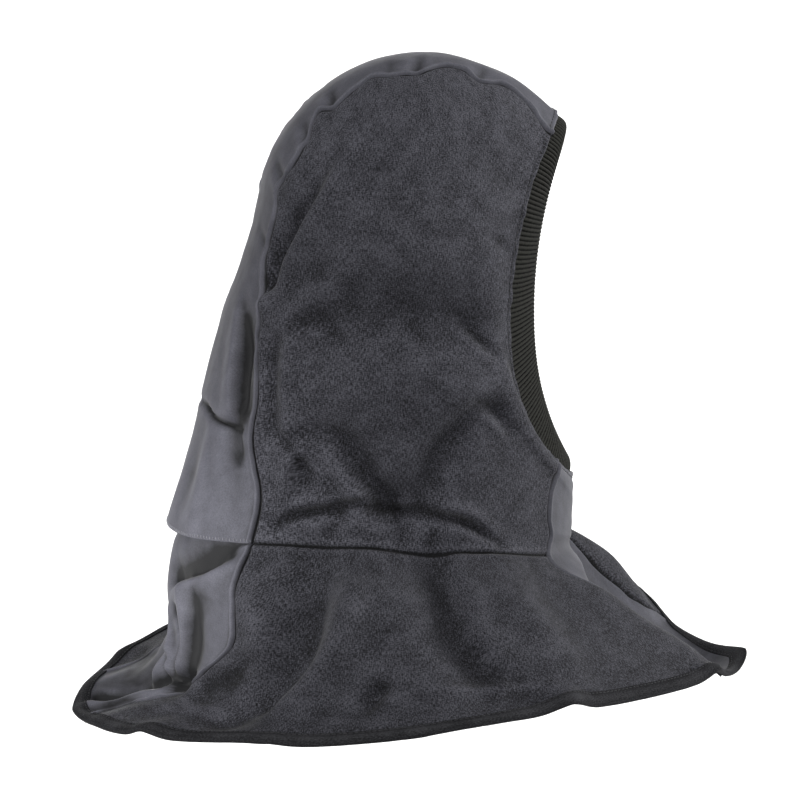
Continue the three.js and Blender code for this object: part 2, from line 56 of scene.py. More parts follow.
# The hood's surface
# Rings turn from the face opening down to the hem. Crown and throat lie on the centre plane, forward and up.
# bow: how far the sides lead. widest: widest place, towards the crown.
# aft, fore: squareness towards the crown and towards the throat, where 2 is an ellipse.
Ring = namedtuple("Ring", "name crown_forward crown_up throat_forward throat_up half bow widest aft fore")
RINGS = [
    Ring("cuff edge", 114, -50, 117, -271, 56, 33, -0.06, 2.2, 2.1),
    Ring("face seam", 107, -38, 119, -284, 76, 53, -0.14, 2.3, 2.1),
    Ring("brow", 66, -9, 121, -293, 90, 48, -0.06, 2.4, 2.0),
    Ring("crown", 10, 3, 121, -300, 97, 38, 0.0, 2.4, 2.0),
    Ring("vertex", -43, -15, 122, -307, 100, 28, 0.04, 2.4, 1.9),
    Ring("occiput", -83, -58, 122, -314, 101, 18, 0.04, 2.4, 1.9),
    Ring("back of head", -102, -122, 123, -321, 101, 8, 0.02, 2.4, 1.8),
    Ring("nape", -129, -203, 123, -328, 101, -2, 0.0, 2.4, 1.8),
    Ring("neck seam", -152, -314, 124, -337, 105, -14, 0.0, 2.4, 1.8),
    Ring("shoulder", -160, -354, 147, -358, 138, -18, 0.05, 2.1, 1.75),
    Ring("drape", -165, -390, 187, -385, 167, -19, 0.09, 1.85, 1.7),
    Ring("flare", -184, -421, 221, -404, 186, -21, 0.11, 1.68, 1.62),
    Ring("hem", -225, -436, 249, -415, 202, -26, 0.12, 1.6, 1.55),
]
FACE, NECK, HEM = 1, 8, len(RINGS) - 1

# Half widths of the grey strips in millimetres of cloth, by ring number; the front strip from the throat.
CROWN_BAND_SEAM = [
    (1, 42), (1.3, 40.5), (1.6, 36), (1.95, 34.5), (2.27, 41.5), (2.6, 34.5), (3.1, 45.5), (3.6, 37),
    (4.18, 42.5), (4.4, 35.5), (4.72, 48), (5.02, 48), (5.24, 41), (5.6, 44.5), (5.95, 41.5), (6.15, 46),
    (6.4, 57), (6.65, 61), (7, 73), (7.3, 77), (7.6, 91), (8, 95),
]
# On the wearer's left the crown band's edge runs plainly.
CROWN_BAND_LEFT_SEAM = [
    (1, 42), (2, 37), (4.5, 41), (5.7, 50), (6.6, 61), (7, 73), (7.3, 77), (7.6, 91), (8, 95),
]
BACK_PANEL_SEAM = [
    (8, 95), (8.75, 98), (9.2, 105), (9.65, 107), (10.1, 94), (10.6, 77), (11, 66), (11.4, 50), (12, 48),
]
FRONT_PANEL_SEAM = [
    (1, 60), (3, 72), (6.5, 76), (7.7, 71), (8.4, 82), (8.7, 82), (9.2, 73), (9.8, 65), (10.6, 60),
    (11.3, 70), (12, 78),
]
# The worn back panel is dragged towards the wearer's left near the hem, in millimetres by ring number.
BACK_PANEL_DRAG = [(8, 0), (10, 1), (10.6, 5), (11, 12), (11.4, 20), (12, 20)]

# Folds: depth outwards and widths in millimetres. gentle: width on the left hand going along the path, as
# seen from outside on the wearer's right; steep: width on the right hand. left: share of the depth on the
# wearer's left. path: ring number, share of the half ring from crown to throat, strength there.
Fold = namedtuple("Fold", "name depth gentle steep left path")
FOLDS = [
    Fold("head swell", 4.0, 30, 30, 0.8, [(4.91, .29, .6), (3.71, .39, 1), (2.29, .42, .6)]),
    Fold("crown tuck", 7.0, 12, 4, 0.5,
         [(4.18, .19, .1), (4.58, .203, .7), (4.95, .205, 1), (5.42, .193, 1), (5.85, .17, 1),
          (6.29, .147, .8)]),
    Fold("crown pit", -11.0, 9, 9, 0.5,
         [(4.69, .173, .2), (5.02, .177, .8), (5.42, .163, 1), (5.82, .145, 1), (6.11, .143, 1)]),
    Fold("cheek hollow", -8.0, 22, 22, 0.8,
         [(5.64, .29, .4), (4.95, .40, 1), (4.22, .465, 1), (3.27, .51, 1), (2.84, .56, .6)]),
    Fold("cheek crease", -3.0, 5, 5, 0.8,
         [(3.35, .503, .5), (3.13, .53, 1), (2.80, .562, 1), (2.29, .578, .5)]),
    Fold("cheek lip", 1.8, 5, 5, 0.8, [(3.42, .532, .5), (3.16, .562, 1), (2.76, .585, .5)]),
    Fold("cheek swell", 7.0, 30, 30, 0.8, [(6.36, .367, .8), (4.73, .568, 1)]),
    Fold("rear of the V", -12.0, 9, 9, 0.7,
         [(7.05, .318, .4), (7.02, .37, .8), (7.20, .41, 1), (7.49, .46, 1)]),
    Fold("roll by the V", 7.0, 7, 7, 0.7, [(7.16, .312, .4), (7.38, .378, 1), (7.53, .422, 1)]),
    Fold("flank of the V", -5.0, 7, 7, 0.7, [(7.13, .302, .5), (7.35, .357, 1), (7.49, .378, .8)]),
    Fold("front of the V", -9.0, 11, 11, 0.7,
         [(4.29, .64, .3), (5.35, .585, .7), (6.15, .547, 1), (6.87, .53, 1), (7.38, .53, 1)]),
    Fold("neck sink", -11.0, 17, 17, 0.8, [(7.42, .487, 1), (7.64, .50, 1)]),
    Fold("neck overhang aft", -6.0, 3.6, 3.6, 0.8,
         [(7.82, .283, .5), (7.71, .318, 1), (7.64, .365, 1), (7.53, .408, 1), (7.56, .435, 1),
          (7.56, .485, .8)]),
    Fold("neck overhang fore", -6.0, 3.6, 3.6, 0.8,
         [(7.56, .485, .8), (7.49, .552, 1), (7.49, .61, 1), (7.78, .682, .3)]),
    Fold("neck roll aft", 2.6, 5, 5, 0.8,
         [(7.71, .283, .4), (7.64, .315, 1), (7.56, .36, 1), (7.45, .40, 1)]),
    Fold("neck roll fore", 2.6, 5, 5, 0.8, [(7.35, .547, 1), (7.31, .61, 1), (7.49, .675, .3)]),
    Fold("neck puff aft", 3.5, 7, 7, 0.8, [(7.82, .318, .8), (7.75, .398, 1)]),
    Fold("neck puff mid", 3.0, 6, 6, 0.8, [(7.75, .422, 1), (7.75, .478, 1)]),
    Fold("neck puff fore", 3.5, 7, 7, 0.8, [(7.64, .56, 1), (7.67, .657, .8)]),
    Fold("neck pocket aft", -3.5, 5, 5, 0.8, [(7.67, .388, 1), (7.82, .378, 1)]),
    Fold("neck pocket fore", -3.0, 5, 5, 0.8, [(7.67, .555, 1), (7.82, .557, 1)]),
    Fold("nape valley", -5.0, 6, 6, 0.7, [(6.51, .195, .6), (6.87, .217, 1), (7.16, .238, .7)]),
    Fold("nape ridge", 4.5, 7, 7, 0.7, [(6.47, .223, .6), (6.80, .24, 1), (7.13, .263, .8)]),
    Fold("nape knot", 5.0, 6, 6, 0.7, [(7.31, .288, 1), (7.42, .28, 1), (7.56, .283, .8)]),
    Fold("nape dent", -5.0, 6, 6, 0.7, [(7.35, .30, 1), (7.45, .318, 1)]),
    Fold("nape line", -4.0, 4, 4, 0.7, [(7.20, .253, .6), (7.31, .292, 1), (7.38, .315, .6)]),
    Fold("nape arch", -3.4, 6, 6, 0.7,
         [(6.44, .21, .6), (6.25, .223, 1), (6.07, .253, 1), (6.00, .283, 1), (6.07, .307, .5)]),
    Fold("nape roll", 5.0, 9, 9, 0.7, [(6.40, .198, .6), (5.89, .245, 1), (5.38, .29, .6)]),
    Fold("cheek notch", -3.5, 5, 5, 0.7, [(4.55, .605, .5), (4.11, .647, 1), (4.15, .682, .6)]),
    Fold("cheek notch lip", 2.2, 5, 5, 0.7, [(4.80, .613, .6), (4.69, .638, 1), (4.62, .667, .6)]),
    Fold("brow pull", -1.6, 8, 8, 0.7, [(2.33, .242, .2), (1.75, .258, .8), (1.13, .255, 1)]),
    Fold("temple pull", -2.0, 5, 5, 0.7, [(2.07, .38, .3), (1.64, .378, 1), (1.13, .37, 1)]),
    Fold("band valley", -10.0, 10, 3, 0.6,
         [(6.5, .09, .2), (6.62, .11, .7), (6.78, .13, 1), (6.98, .142, 1), (7.13, .155, .9),
          (7.2, .16, .5)]),
    Fold("band ridge", 4.5, 12, 2.6, 0.6,
         [(7.16, .147, .8), (6.98, .132, 1), (6.78, .12, 1), (6.58, .092, .6), (6.45, .068, .2)]),
    Fold("band overlap", -4.0, 2.6, 2.6, 0.3,
         [(7.24, 0, .4), (7.24, .043, 1), (7.27, .09, 1), (7.27, .145, 1), (7.27, .17, .5)]),
    Fold("flap valley", -8.0, 10, 5.4, 0.6, [(7.5, .19, .2), (7.4, .176, .9), (7.31, .162, .9)]),
    Fold("flap ridge", 4.0, 10, 8, 0.6, [(7.82, .185, .7), (7.53, .158, 1), (7.35, .135, .6)]),
    Fold("flap hollow", -3.0, 13, 13, 0.5, [(7.4, .045, .4), (7.6, .05, 1), (7.93, .06, .6)]),
    Fold("flap drag", 2.6, 6, 9, 0.5, [(7.36, .095, .5), (7.6, .112, 1), (7.9, .13, .7)]),
    Fold("flap dimple", -2.0, 7, 7, 0.5, [(7.68, .165, .6), (7.78, .185, 1), (7.84, .195, .4)]),
    Fold("back crease", -11.0, 15, 4, 0, [(8.75, .04, .8), (8.48, .1, 1), (8.32, .15, 1), (8.15, .2, .5)]),
    Fold("back edge", 3.0, 5, 9, 0, [(8.85, .09, .7), (8.55, .146, 1), (8.38, .19, 1), (8.25, .225, .3)]),
    Fold("back fold", -8.0, 16, 4.5, 0,
         [(8.65, .135, .2), (8.9, .13, .5), (9.25, .13, .7), (9.68, .12, 1), (10.35, .115, .9)]),
    Fold("back ridge", 5.0, 9, 5, 0,
         [(10.5, .105, .7), (10.1, .108, 1), (9.53, .112, 1), (9.05, .1, .8), (8.7, .085, .4)]),
    Fold("back gully", -7.0, 4, 4, 0, [(9.3, .05, .5), (9.45, .082, 1), (9.8, .092, 1), (10.4, .086, .6)]),
    Fold("back tube", 5.0, 5, 5, 0, [(9.43, .02, .4), (9.9, .05, 1), (10.3, .072, 1), (10.6, .09, .6)]),
    Fold("back pocket", -6.0, 5, 5, 0, [(10.38, .115, 1), (10.5, .1, 1)]),
    Fold("far back tuck", -11.0, 30, 30, 0,
         [(9.3, -.1, .2), (9.8, -.11, .8), (10.3, -.11, 1), (10.7, -.1, .5)]),
    Fold("train ridge", 6.0, 6, 5, 0, [(10.1, .047, .5), (10.48, .026, 1), (10.87, .016, .7)]),
    Fold("train valley", -6.0, 5, 5, 0, [(10.25, .062, .6), (10.4, .055, 1), (10.62, .052, .7)]),
    Fold("train step", -8.0, 9, 4, 0,
         [(10.5, .118, 1), (10.62, .055, 1), (11.0, .004, 1), (11.6, -.03, .8)]),
    Fold("train roll", 6.0, 6, 5, 0, [(11.75, .0, .8), (11.2, .034, 1), (10.8, .09, .8)]),
    Fold("back valley", -9.0, 26, 26, 0, [(10.2, 0, 1), (10.8, 0, 1), (11.3, 0, 1)]),
    Fold("back lip", 3.5, 10, 9, 0.8,
         [(9.9, .25, .6), (10.25, .2, 1), (10.6, .155, 1), (11.0, .122, .8), (11.4, .08, .6),
          (11.8, .07, .3)]),
    Fold("cape valley", -22.0, 24, 11, 0.8,
         [(10.98, .233, .5), (10.40, .275, 1), (9.75, .318, 1), (9.09, .35, 1), (8.33, .375, .4)]),
    Fold("cape ridge fore", 10.0, 12, 14, 0.8,
         [(8.8, .408, .4), (9.35, .388, 1), (9.89, .348, 1), (10.65, .30, 1)]),
    Fold("cape ridge aft", 8.0, 13, 13, 0.8,
         [(8.69, .268, .4), (9.56, .26, 1), (10.07, .247, 1), (10.76, .21, .6)]),
    Fold("cape notch", -9.0, 10, 5, 0.8, [(9.96, .242, .5), (10.22, .208, 1), (10.44, .168, .8)]),
    Fold("cape bend", -16.0, 24, 7, 0.8,
         [(10.40, .562, .3), (10.07, .54, .9), (9.53, .537, 1), (8.98, .555, 1), (8.25, .568, .8)]),
    Fold("cape swell", 7.0, 20, 20, 0.8, [(8.47, .682, .7), (9.42, .647, 1), (10.22, .642, .7)]),
    Fold("cape dimple", -8.0, 6, 6, 0.5, [(10.76, .393, 1), (10.51, .408, 1)]),
    Fold("cape hem crease", 2.5, 4, 4, 0.5,
         [(10.69, .417, .5), (10.58, .475, 1), (10.65, .545, 1), (10.87, .608, .7)]),
    Fold("hem crease aft", 3.0, 5, 5, 0.5,
         [(11.1, .13, .4), (11.0, .188, 1), (11.0, .255, 1), (10.95, .318, .4)]),
    Fold("hem sag", -6.0, 16, 16, 0.8,
         [(12, .315, .3), (12, .35, .9), (12, .41, 1), (12, .47, .8), (12, .53, .3)]),
    Fold("hem notch", 11.0, 15, 13, 0.5, [(11.2, .645, .2), (11.7, .63, .8), (12, .622, 1)]),
    Fold("hem rise aft", 5.0, 14, 14, 0.5, [(11.5, .17, .4), (12, .165, 1)]),
    Fold("hem rise fore", 6.0, 12, 12, 0.5, [(11.6, .85, .4), (12, .85, 1)]),
    Fold("front ridge", 10.0, 24, 11, 1.0,
         [(11.3, .88, .5), (10.65, .886, 1), (9.8, .858, 1), (9.2, .826, .9), (8.62, .785, .3)]),
    Fold("front valley", -46.0, 46, 46, 0,
         [(8.2, 1, .1), (8.7, 1, .5), (9.3, 1, 1), (10.3, 1, 1), (11.2, 1, .6), (12, 1, .1)]),
    Fold("far front ridge", 22.0, 22, 22, 0,
         [(8.5, 1.2, .1), (9.3, 1.19, .7), (10.3, 1.18, 1.1), (11.3, 1.17, .8)]),
]
# Short pinches that run from the points of the crown band's scalloped seam into the band.
Pinch = namedtuple("Pinch", "ring share depth")
PINCHES = [
    Pinch(2.28, .10, -1.2), Pinch(2.46, .09, 1.0), Pinch(3.05, .10, -1.6), Pinch(3.22, .10, 1.2),
    Pinch(3.42, .095, -1.3), Pinch(4.2, .095, -1.9), Pinch(4.34, .085, 1.3), Pinch(4.66, .105, -1.7),
    Pinch(4.78, .105, 1.4), Pinch(5.2, .10, -1.8), Pinch(5.36, .10, 1.2), Pinch(5.9, .10, -1.3),
]
PINCH_GENTLE, PINCH_STEEP, PINCH_LEFT = 4.2, 3.4, 0.5
# A pinch dies out towards the middle of the band: ring numbers back, part of its share, strength there.
PINCH_RUN = [(0, 1, 1), (.05, .7, .8), (.08, .35, .1)]
FOLDS += [
    Fold("crown pinch", pinch.depth, PINCH_GENTLE, PINCH_STEEP, PINCH_LEFT,
         [(pinch.ring - back, part * pinch.share, strength) for back, part, strength in PINCH_RUN])
    for pinch in PINCHES
]
# The folds grow from nothing over this many ring numbers behind the face seam.
FOLDS_FADE_OVER = 0.7
# Ring number where the flap comes loose, and how far the middle of its lower edge stands off, in millimetres.
FLAP_STARTS = 7.3
FLAP_STAND_OFF = 8.0
# Lengths under this have no direction.
TINY = 1e-9


def smooth(value):
    """Eases a share from 0 to 1."""
    share = np.clip(value, 0, 1)
    return share * share * (3 - 2 * share)


def unit(vectors):
    """Directions of length one."""
    return vectors / np.maximum(np.linalg.norm(vectors, axis=-1, keepdims=True), TINY)


def lengths(points, axis):
    """Distance walked along an axis of a grid of points."""
    step = np.linalg.norm(np.diff(points, axis=axis), axis=-1)
    start = np.zeros_like(np.take(step, [0], axis=axis))
    return np.concatenate([start, np.cumsum(step, axis=axis)], axis=axis)


def at_length(line, walked, length):
    """Points of a line after walking that far along it."""
    return np.stack([np.interp(length, walked, line[:, axis]) for axis in range(3)], -1)


def curved(a, b, slope_a, slope_b, u):
    """Smooth way from a to b that sets out and arrives with these slopes."""
    bend = 3 * (b - a) - 2 * slope_a - slope_b
    twist = 2 * (a - b) + slope_a + slope_b
    return a + u * slope_a + u**2 * bend + u**3 * twist


def on_curve(table, place):
    """Rows of a table on a smooth curve at real row numbers."""
    place = np.clip(np.asarray(place, float), 0, len(table) - 1)
    before = np.vstack([2 * table[0] - table[1], table[:-1]])
    after = np.vstack([table[1:], 2 * table[-1] - table[-2]])
    slope = (after - before) / 2
    low = np.minimum(place.astype(int), len(table) - 2)
    return curved(table[low], table[low + 1], slope[low], slope[low + 1], (place - low)[..., None])


RING_TABLE = np.array([ring[1:] for ring in RINGS], float)
# How quickly the squareness turns at the sides from its aft to its fore value
SQUARENESS_TURN = 1.2


def ring_point(ring, angle):
    """Point of a ring at an angle from the crown."""
    columns = np.moveaxis(on_curve(RING_TABLE, ring), -1, 0)
    crown_forward, crown_up, throat_forward, throat_up, half, bow, widest, aft, fore = columns
    towards_throat = smooth(0.5 - 0.5 * np.clip(SQUARENESS_TURN * np.cos(angle), -1, 1))
    power = 2 / (aft + (fore - aft) * towards_throat)
    c = np.sign(np.cos(angle)) * np.abs(np.cos(angle)) ** power
    s = np.sign(np.sin(angle)) * np.abs(np.sin(angle)) ** power
    along = c + widest * (1 - c * c)
    f, u = (crown_forward - throat_forward) / 2, (crown_up - throat_up) / 2
    lead = bow * s * s / np.hypot(f, u)
    forward = (crown_forward + throat_forward) / 2 + f * along - u * lead
    up = (crown_up + throat_up) / 2 + u * along + f * lead
    return np.stack([half * s, -forward, up], -1)


# Lengths of cloth round the rings, by which a share of a half ring is found
ROWS_A_RING, ARC_STEPS = 12, 180
ARC_ROWS = np.linspace(0, HEM, ROWS_A_RING * HEM + 1)
ARC_ANGLES = np.linspace(0, np.pi, ARC_STEPS + 1)
ARC_LENGTHS = lengths(ring_point(*np.meshgrid(ARC_ROWS, ARC_ANGLES, indexing="ij")), 1)
ARC_SHARES = ARC_LENGTHS / ARC_LENGTHS[:, -1:]


def half_length(ring):
    """Length of cloth from crown to throat on one side of a ring."""
    return np.interp(ring, ARC_ROWS, ARC_LENGTHS[:, -1])


def plain(ring, share):
    """Point of the unfolded surface at a ring number and a signed share of the half ring."""
    ring, share = np.broadcast_arrays(np.asarray(ring, float), np.asarray(share, float))
    turned = share - 2 * np.round(share / 2)
    place = np.clip(ring, 0, HEM) * ROWS_A_RING
    low = np.minimum(place.astype(int), len(ARC_ROWS) - 2)
    angle = np.empty(ring.shape)
    for row in np.unique(low):
        here = low == row
        first = np.interp(np.abs(turned[here]), ARC_SHARES[row], ARC_ANGLES)
        second = np.interp(np.abs(turned[here]), ARC_SHARES[row + 1], ARC_ANGLES)
        angle[here] = first + (second - first) * (place[here] - row)
    return ring_point(ring, np.where(turned < 0, -angle, angle))


# Steps to each side over which a direction of the surface is taken
RING_STEP, SHARE_STEP = 0.01, 0.002


def outwards(ring, share):
    """Outward direction of the unfolded surface."""
    down = plain(np.minimum(ring + RING_STEP, HEM), share) - plain(np.maximum(ring - RING_STEP, 0), share)
    around = plain(ring, share + SHARE_STEP) - plain(ring, share - SHARE_STEP)
    return unit(np.cross(around, down))


FoldLine = namedtuple("FoldLine", "line depth hands gentle steep")
# Points of a fold's line from one place of its path to the next
PATH_STEPS = 8


def fold_lines(folds):
    """Each fold as a line of points with its depth there and its left hand, on the right and on the left."""
    made = []
    for fold in folds:
        last = len(fold.path) - 1
        walked = np.linspace(0, last, PATH_STEPS * last + 1)
        ring, share, strength = on_curve(np.array(fold.path, float), walked).T
        for side, part in ((-1, 1), (1, fold.left)):
            if part > 0:
                line = plain(ring, side * share)
                hands = unit(-side * np.cross(outwards(ring, side * share)[:-1], np.diff(line, axis=0)))
                made.append(FoldLine(line, strength * fold.depth * part, hands, fold.gentle, fold.steep))
    return made


FOLD_LINES = fold_lines(FOLDS)
# The flap hangs over the folds below the neck seam and takes none of them.
HEAD_FOLD_LINES = fold_lines([fold for fold in FOLDS if fold.path[0][0] < NECK])
# Little light reaches the bottom of a sharp crease: widths up to this many millimetres count as sharp,
# and this depth counts as dark.
SHARP_WIDTH = 5.0
DARK_DEPTH = 8.0
# A fold is felt as far as this many times its width.
FOLD_REACH = 3


def fold_height(ring, place, folds=FOLD_LINES):
    """Height of the folds over the unfolded surface."""
    height = np.zeros(ring.shape)
    for line, depth, hands, gentle, steep in folds:
        reach = FOLD_REACH * max(gentle, steep)
        near = np.all((place > line.min(0) - reach) & (place < line.max(0) + reach), axis=-1)
        spot = place[near]
        best = np.full(len(spot), np.inf)
        depth_there = np.zeros(len(spot))
        width_there = np.ones(len(spot))
        for a, b, depth_a, depth_b, hand in zip(line[:-1], line[1:], depth[:-1], depth[1:], hands):
            run = b - a
            u = np.clip((spot - a) @ run / max(run @ run, TINY), 0, 1)
            away = np.linalg.norm(spot - a - u[:, None] * run, axis=-1)
            closer = away < best
            best = np.where(closer, away, best)
            depth_there = np.where(closer, depth_a + (depth_b - depth_a) * u, depth_there)
            leaning = 0.5 + 0.5 * np.clip((spot - a) @ hand / np.maximum(away, TINY), -1, 1)
            width_there = np.where(closer, steep + (gentle - steep) * leaning, width_there)
        height[near] += depth_there * np.exp(-((best / width_there) ** 2))
    return height * smooth((ring - FACE) / FOLDS_FADE_OVER)


# Random heights on a lattice that repeats; the shift keeps its cells above zero.
LATTICE = 32
LATTICE_SHIFT = 1000
# size: millimetres over which the height changes. part: how much of it counts.
Ripple = namedtuple("Ripple", "size seed part")
WRINKLES = [Ripple(34, 11, 1.0), Ripple(13, 12, 0.4)]
BINDING_BUMPS = [Ripple(7, 61, 0.35), Ripple(22, 62, 0.35)]
PUCKER_SEED = 13


def ripple(place, size, seed):
    """Soft random height between -1 and 1 that changes over about that many millimetres."""
    heights = np.random.default_rng(seed).uniform(-1, 1, (LATTICE,) * 3)
    spot = np.asarray(place) / size + LATTICE_SHIFT
    cell = np.floor(spot).astype(int)
    part = smooth(spot - cell)
    total = np.zeros(spot.shape[:-1])
    for corner in np.ndindex(2, 2, 2):
        weight = np.prod(np.where(corner, part, 1 - part), axis=-1)
        x, y, z = np.moveaxis((cell + corner) % LATTICE, -1, 0)
        total += weight * heights[x, y, z]
    return total


def ripples(place, kinds):
    """Ripples of several sizes together."""
    return sum(kind.part * ripple(place, kind.size, kind.seed) for kind in kinds)


# Panels cut from the surface
def seam_width(table, ring):
    """Half width of a grey strip on a smooth line through its seam table."""
    rings, widths = np.array(table, float).T
    slope = np.gradient(widths, rings)
    ring = np.clip(np.asarray(ring, float), rings[0], rings[-1])
    low = np.clip(np.searchsorted(rings, ring, "right") - 1, 0, len(rings) - 2)
    run = rings[low + 1] - rings[low]
    u = (ring - rings[low]) / run
    return curved(widths[low], widths[low + 1], run * slope[low], run * slope[low + 1], u)


def middle_half(ring, band=CROWN_BAND_SEAM):
    """Half width of the crown band above the neck seam and of the back panel below it."""
    return np.where(ring <= NECK, seam_width(band, ring), seam_width(BACK_PANEL_SEAM, ring))


def middle_span(ring):
    """First and last share of the crown band and the back panel."""
    drag, length = seam_width(BACK_PANEL_DRAG, ring), half_length(ring)
    return (drag - middle_half(ring)) / length, (drag + middle_half(ring, CROWN_BAND_LEFT_SEAM)) / length


def front_span(ring):
    """First and last share of the front panel."""
    half = seam_width(FRONT_PANEL_SEAM, ring) / half_length(ring)
    return 1 - half, 1 + half


def left_span(ring):
    """First and last share of the canvas on the wearer's left."""
    return middle_span(ring)[1], front_span(ring)[0]


def right_span(ring):
    """First and last share of the canvas on the wearer's right."""
    return front_span(ring)[1] - 2, middle_span(ring)[0]


# Grid lines in millimetres: their distances from a seam, then the step between them
EDGE_STEPS = np.array([0, 0.4, 0.9, 1.5, 2.2, 3.0, 4.0, 5.2, 6.6, 8.2])
GRID_STEP = 1.8
STRIP_STEP = 1.1


def spaced(length, step=GRID_STEP):
    """Shares of a length, close together at both ends where the seams are."""
    last = EDGE_STEPS[-1]
    middle = np.linspace(last, length - last, max(int((length - 2 * last) / step), 2) + 1)[1:-1]
    return np.concatenate([EDGE_STEPS, middle, length - EDGE_STEPS[::-1]]) / length


# Points at which the line under a panel's rows is measured
ROW_SAMPLES = 400


def ring_rows(first, last, share):
    """Ring numbers of a panel's rows, evenly spaced along one line of the surface."""
    fine = np.linspace(first, last, ROW_SAMPLES)
    walked = lengths(plain(fine, np.full_like(fine, share)), 0)
    return np.interp(spaced(walked[-1]) * walked[-1], walked, fine)


# Neighbouring panels share rows and columns, so that their edges meet. The rows are spaced along a line at
# this share of the half ring, and the columns for this many millimetres of cloth.
HEAD_LINE, CAPE_LINE = 0.2, 0.4
HEAD_ROWS = ring_rows(FACE, NECK, HEAD_LINE)
CAPE_ROWS = ring_rows(NECK, HEM, CAPE_LINE)
SIDE_COLUMNS = spaced(330)
BAND_COLUMNS = spaced(110, STRIP_STEP)
FRONT_COLUMNS = spaced(150, STRIP_STEP)
BACK_COLUMNS = spaced(190, STRIP_STEP)

# A seam: the edge drops, and a welt stands beside it. Puckers run along it. All in millimetres.
# groove: how wide the painted shade line between the two cloths is on this side of the seam.
Seam = namedtuple("Seam", "drop drop_width welt welt_at welt_width pucker pucker_size groove")
FELLED_EDGE = Seam(3.0, 0.8, 1.3, 2.2, 1.5, 0.65, 8, 0.4)
DITCH_EDGE = Seam(3.0, 1.4, 0.3, 4.0, 2.5, 0.30, 9, 1.8)
NECK_EDGE = Seam(2.0, 1.2, 0.5, 3.0, 1.8, 0.30, 9, 0.9)
TURNED_EDGE = Seam(1.2, 0.8, 0.9, 2.2, 1.4, 0.80, 5, 0.5)
HEM_EDGE = Seam(0.0, 1.0, 0.0, 3.0, 2.0, 0.25, 9, 0.35)
# How far the puckers reach into the cloth, in millimetres, and how much of them the welt takes
PUCKER_REACH = 7
WELT_PUCKER = 0.5

# Painted light: cloth standing out over its surroundings is painted paler as a highlight, creases darker as
# shade.
# reach: how far to each side the surroundings count. height: how much counts as fully painted. In
# millimetres.
LightPaintScale = namedtuple("LightPaintScale", "reach height")
LIGHT_PAINT_SCALES = [LightPaintScale(3.5, 1.6), LightPaintScale(9, 3.5), LightPaintScale(22, 7.0)]
# The painted highlight counts for less than the painted shade.
PAINTED_HIGHLIGHT_PART = 0.6
# How dark the painted shade is in sharp creases and in the lines of the seams
CREASE_PAINTED_SHADE = 1.1
GROOVE_PAINTED_SHADE = 3.5
# The front panel takes only this part of the painted highlight and shade from its relief.
FRONT_RELIEF_LIGHT_PART = 0.3

Cloth = namedtuple("Cloth", "ring place out pinch top bottom left right")


def pinched(ring, place, folds):
    """How deep the cloth lies in sharp creases, 0 on open cloth and 1 where it is dark."""
    creases = [
        fold for fold in folds if min(fold.gentle, fold.steep) <= SHARP_WIDTH and fold.depth.sum() < 0
    ]
    return np.clip(-fold_height(ring, place, creases) / DARK_DEPTH, 0, 1)


def lay_out(rows, span, columns, folds=FOLD_LINES):
    """A grid of cloth over the folded surface, with its distances from the four edges."""
    first, last = span(rows)
    share = first[:, None] + (last - first)[:, None] * columns[None, :]
    ring = np.broadcast_to(rows[:, None], share.shape)
    flat = plain(ring, share)
    out = outwards(ring, share)
    down, across = lengths(flat, 0), lengths(flat, 1)
    place = flat + out * fold_height(ring, flat, folds)[..., None]
    pinch = pinched(ring, flat, folds)
    return Cloth(ring, place, out, pinch, down, down[-1:] - down, across, across[:, -1:] - across)


def seam_height(seam, away, place):
    """Height of the cloth near a seam."""
    puckers = ripple(place, seam.pucker_size, PUCKER_SEED) * np.exp(-away / PUCKER_REACH)
    drop = -seam.drop * np.exp(-((away / seam.drop_width) ** 2))
    welt = seam.welt * np.exp(-(((away - seam.welt_at) / seam.welt_width) ** 2))
    return drop + welt * (1 + WELT_PUCKER * puckers) + seam.pucker * puckers


def sewn(cloth, seams, wrinkle):
    """Outer face of a panel: folded cloth with its seams and wrinkles, which run on from panel to panel."""
    height = wrinkle * ripples(cloth.place, WRINKLES)
    for edge, seam in seams.items():
        height = height + seam_height(seam, getattr(cloth, edge), cloth.place)
    return cloth.place + cloth.out * height[..., None]


def shadows(cloth, seams):
    """Painted shade where the cloth lies in its creases and in the lines of its seams, 0 on open cloth."""
    lines = [np.exp(-((getattr(cloth, edge) / seam.groove) ** 4)) for edge, seam in seams.items()]
    return -CREASE_PAINTED_SHADE * cloth.pinch - GROOVE_PAINTED_SHADE * np.max(lines, axis=0)


def facing(points):
    """Outward direction of a grid of points."""
    return unit(np.cross(np.gradient(points, axis=1), np.gradient(points, axis=0)))


def smeared(grid, reach):
    """A grid of points averaged over its neighbours."""
    for axis in (0, 1):
        steps = round(reach / np.median(np.linalg.norm(np.diff(grid, axis=axis), axis=-1)))
        padded = np.pad(grid, [(steps, steps) if n == axis else (0, 0) for n in range(3)], mode="edge")
        count = grid.shape[axis]
        grid = np.mean([np.take(padded, range(n, n + count), axis) for n in range(2 * steps + 1)], axis=0)
    return grid


def worn(outer):
    """Painted shade and highlight by how far each point stands out of the cloth around it, -1 in a crease to
    1 on an edge.
    """
    out = facing(outer)
    stands = sum(np.sum((outer - smeared(outer, light_paint.reach)) * out, -1) / light_paint.height for light_paint in LIGHT_PAINT_SCALES)
    return np.where(stands > 0, PAINTED_HIGHLIGHT_PART, 1) * np.tanh(stands)


# Meshes
# Edges sharper than this many degrees are not shaded smooth.
SHARP_ANGLE = 70


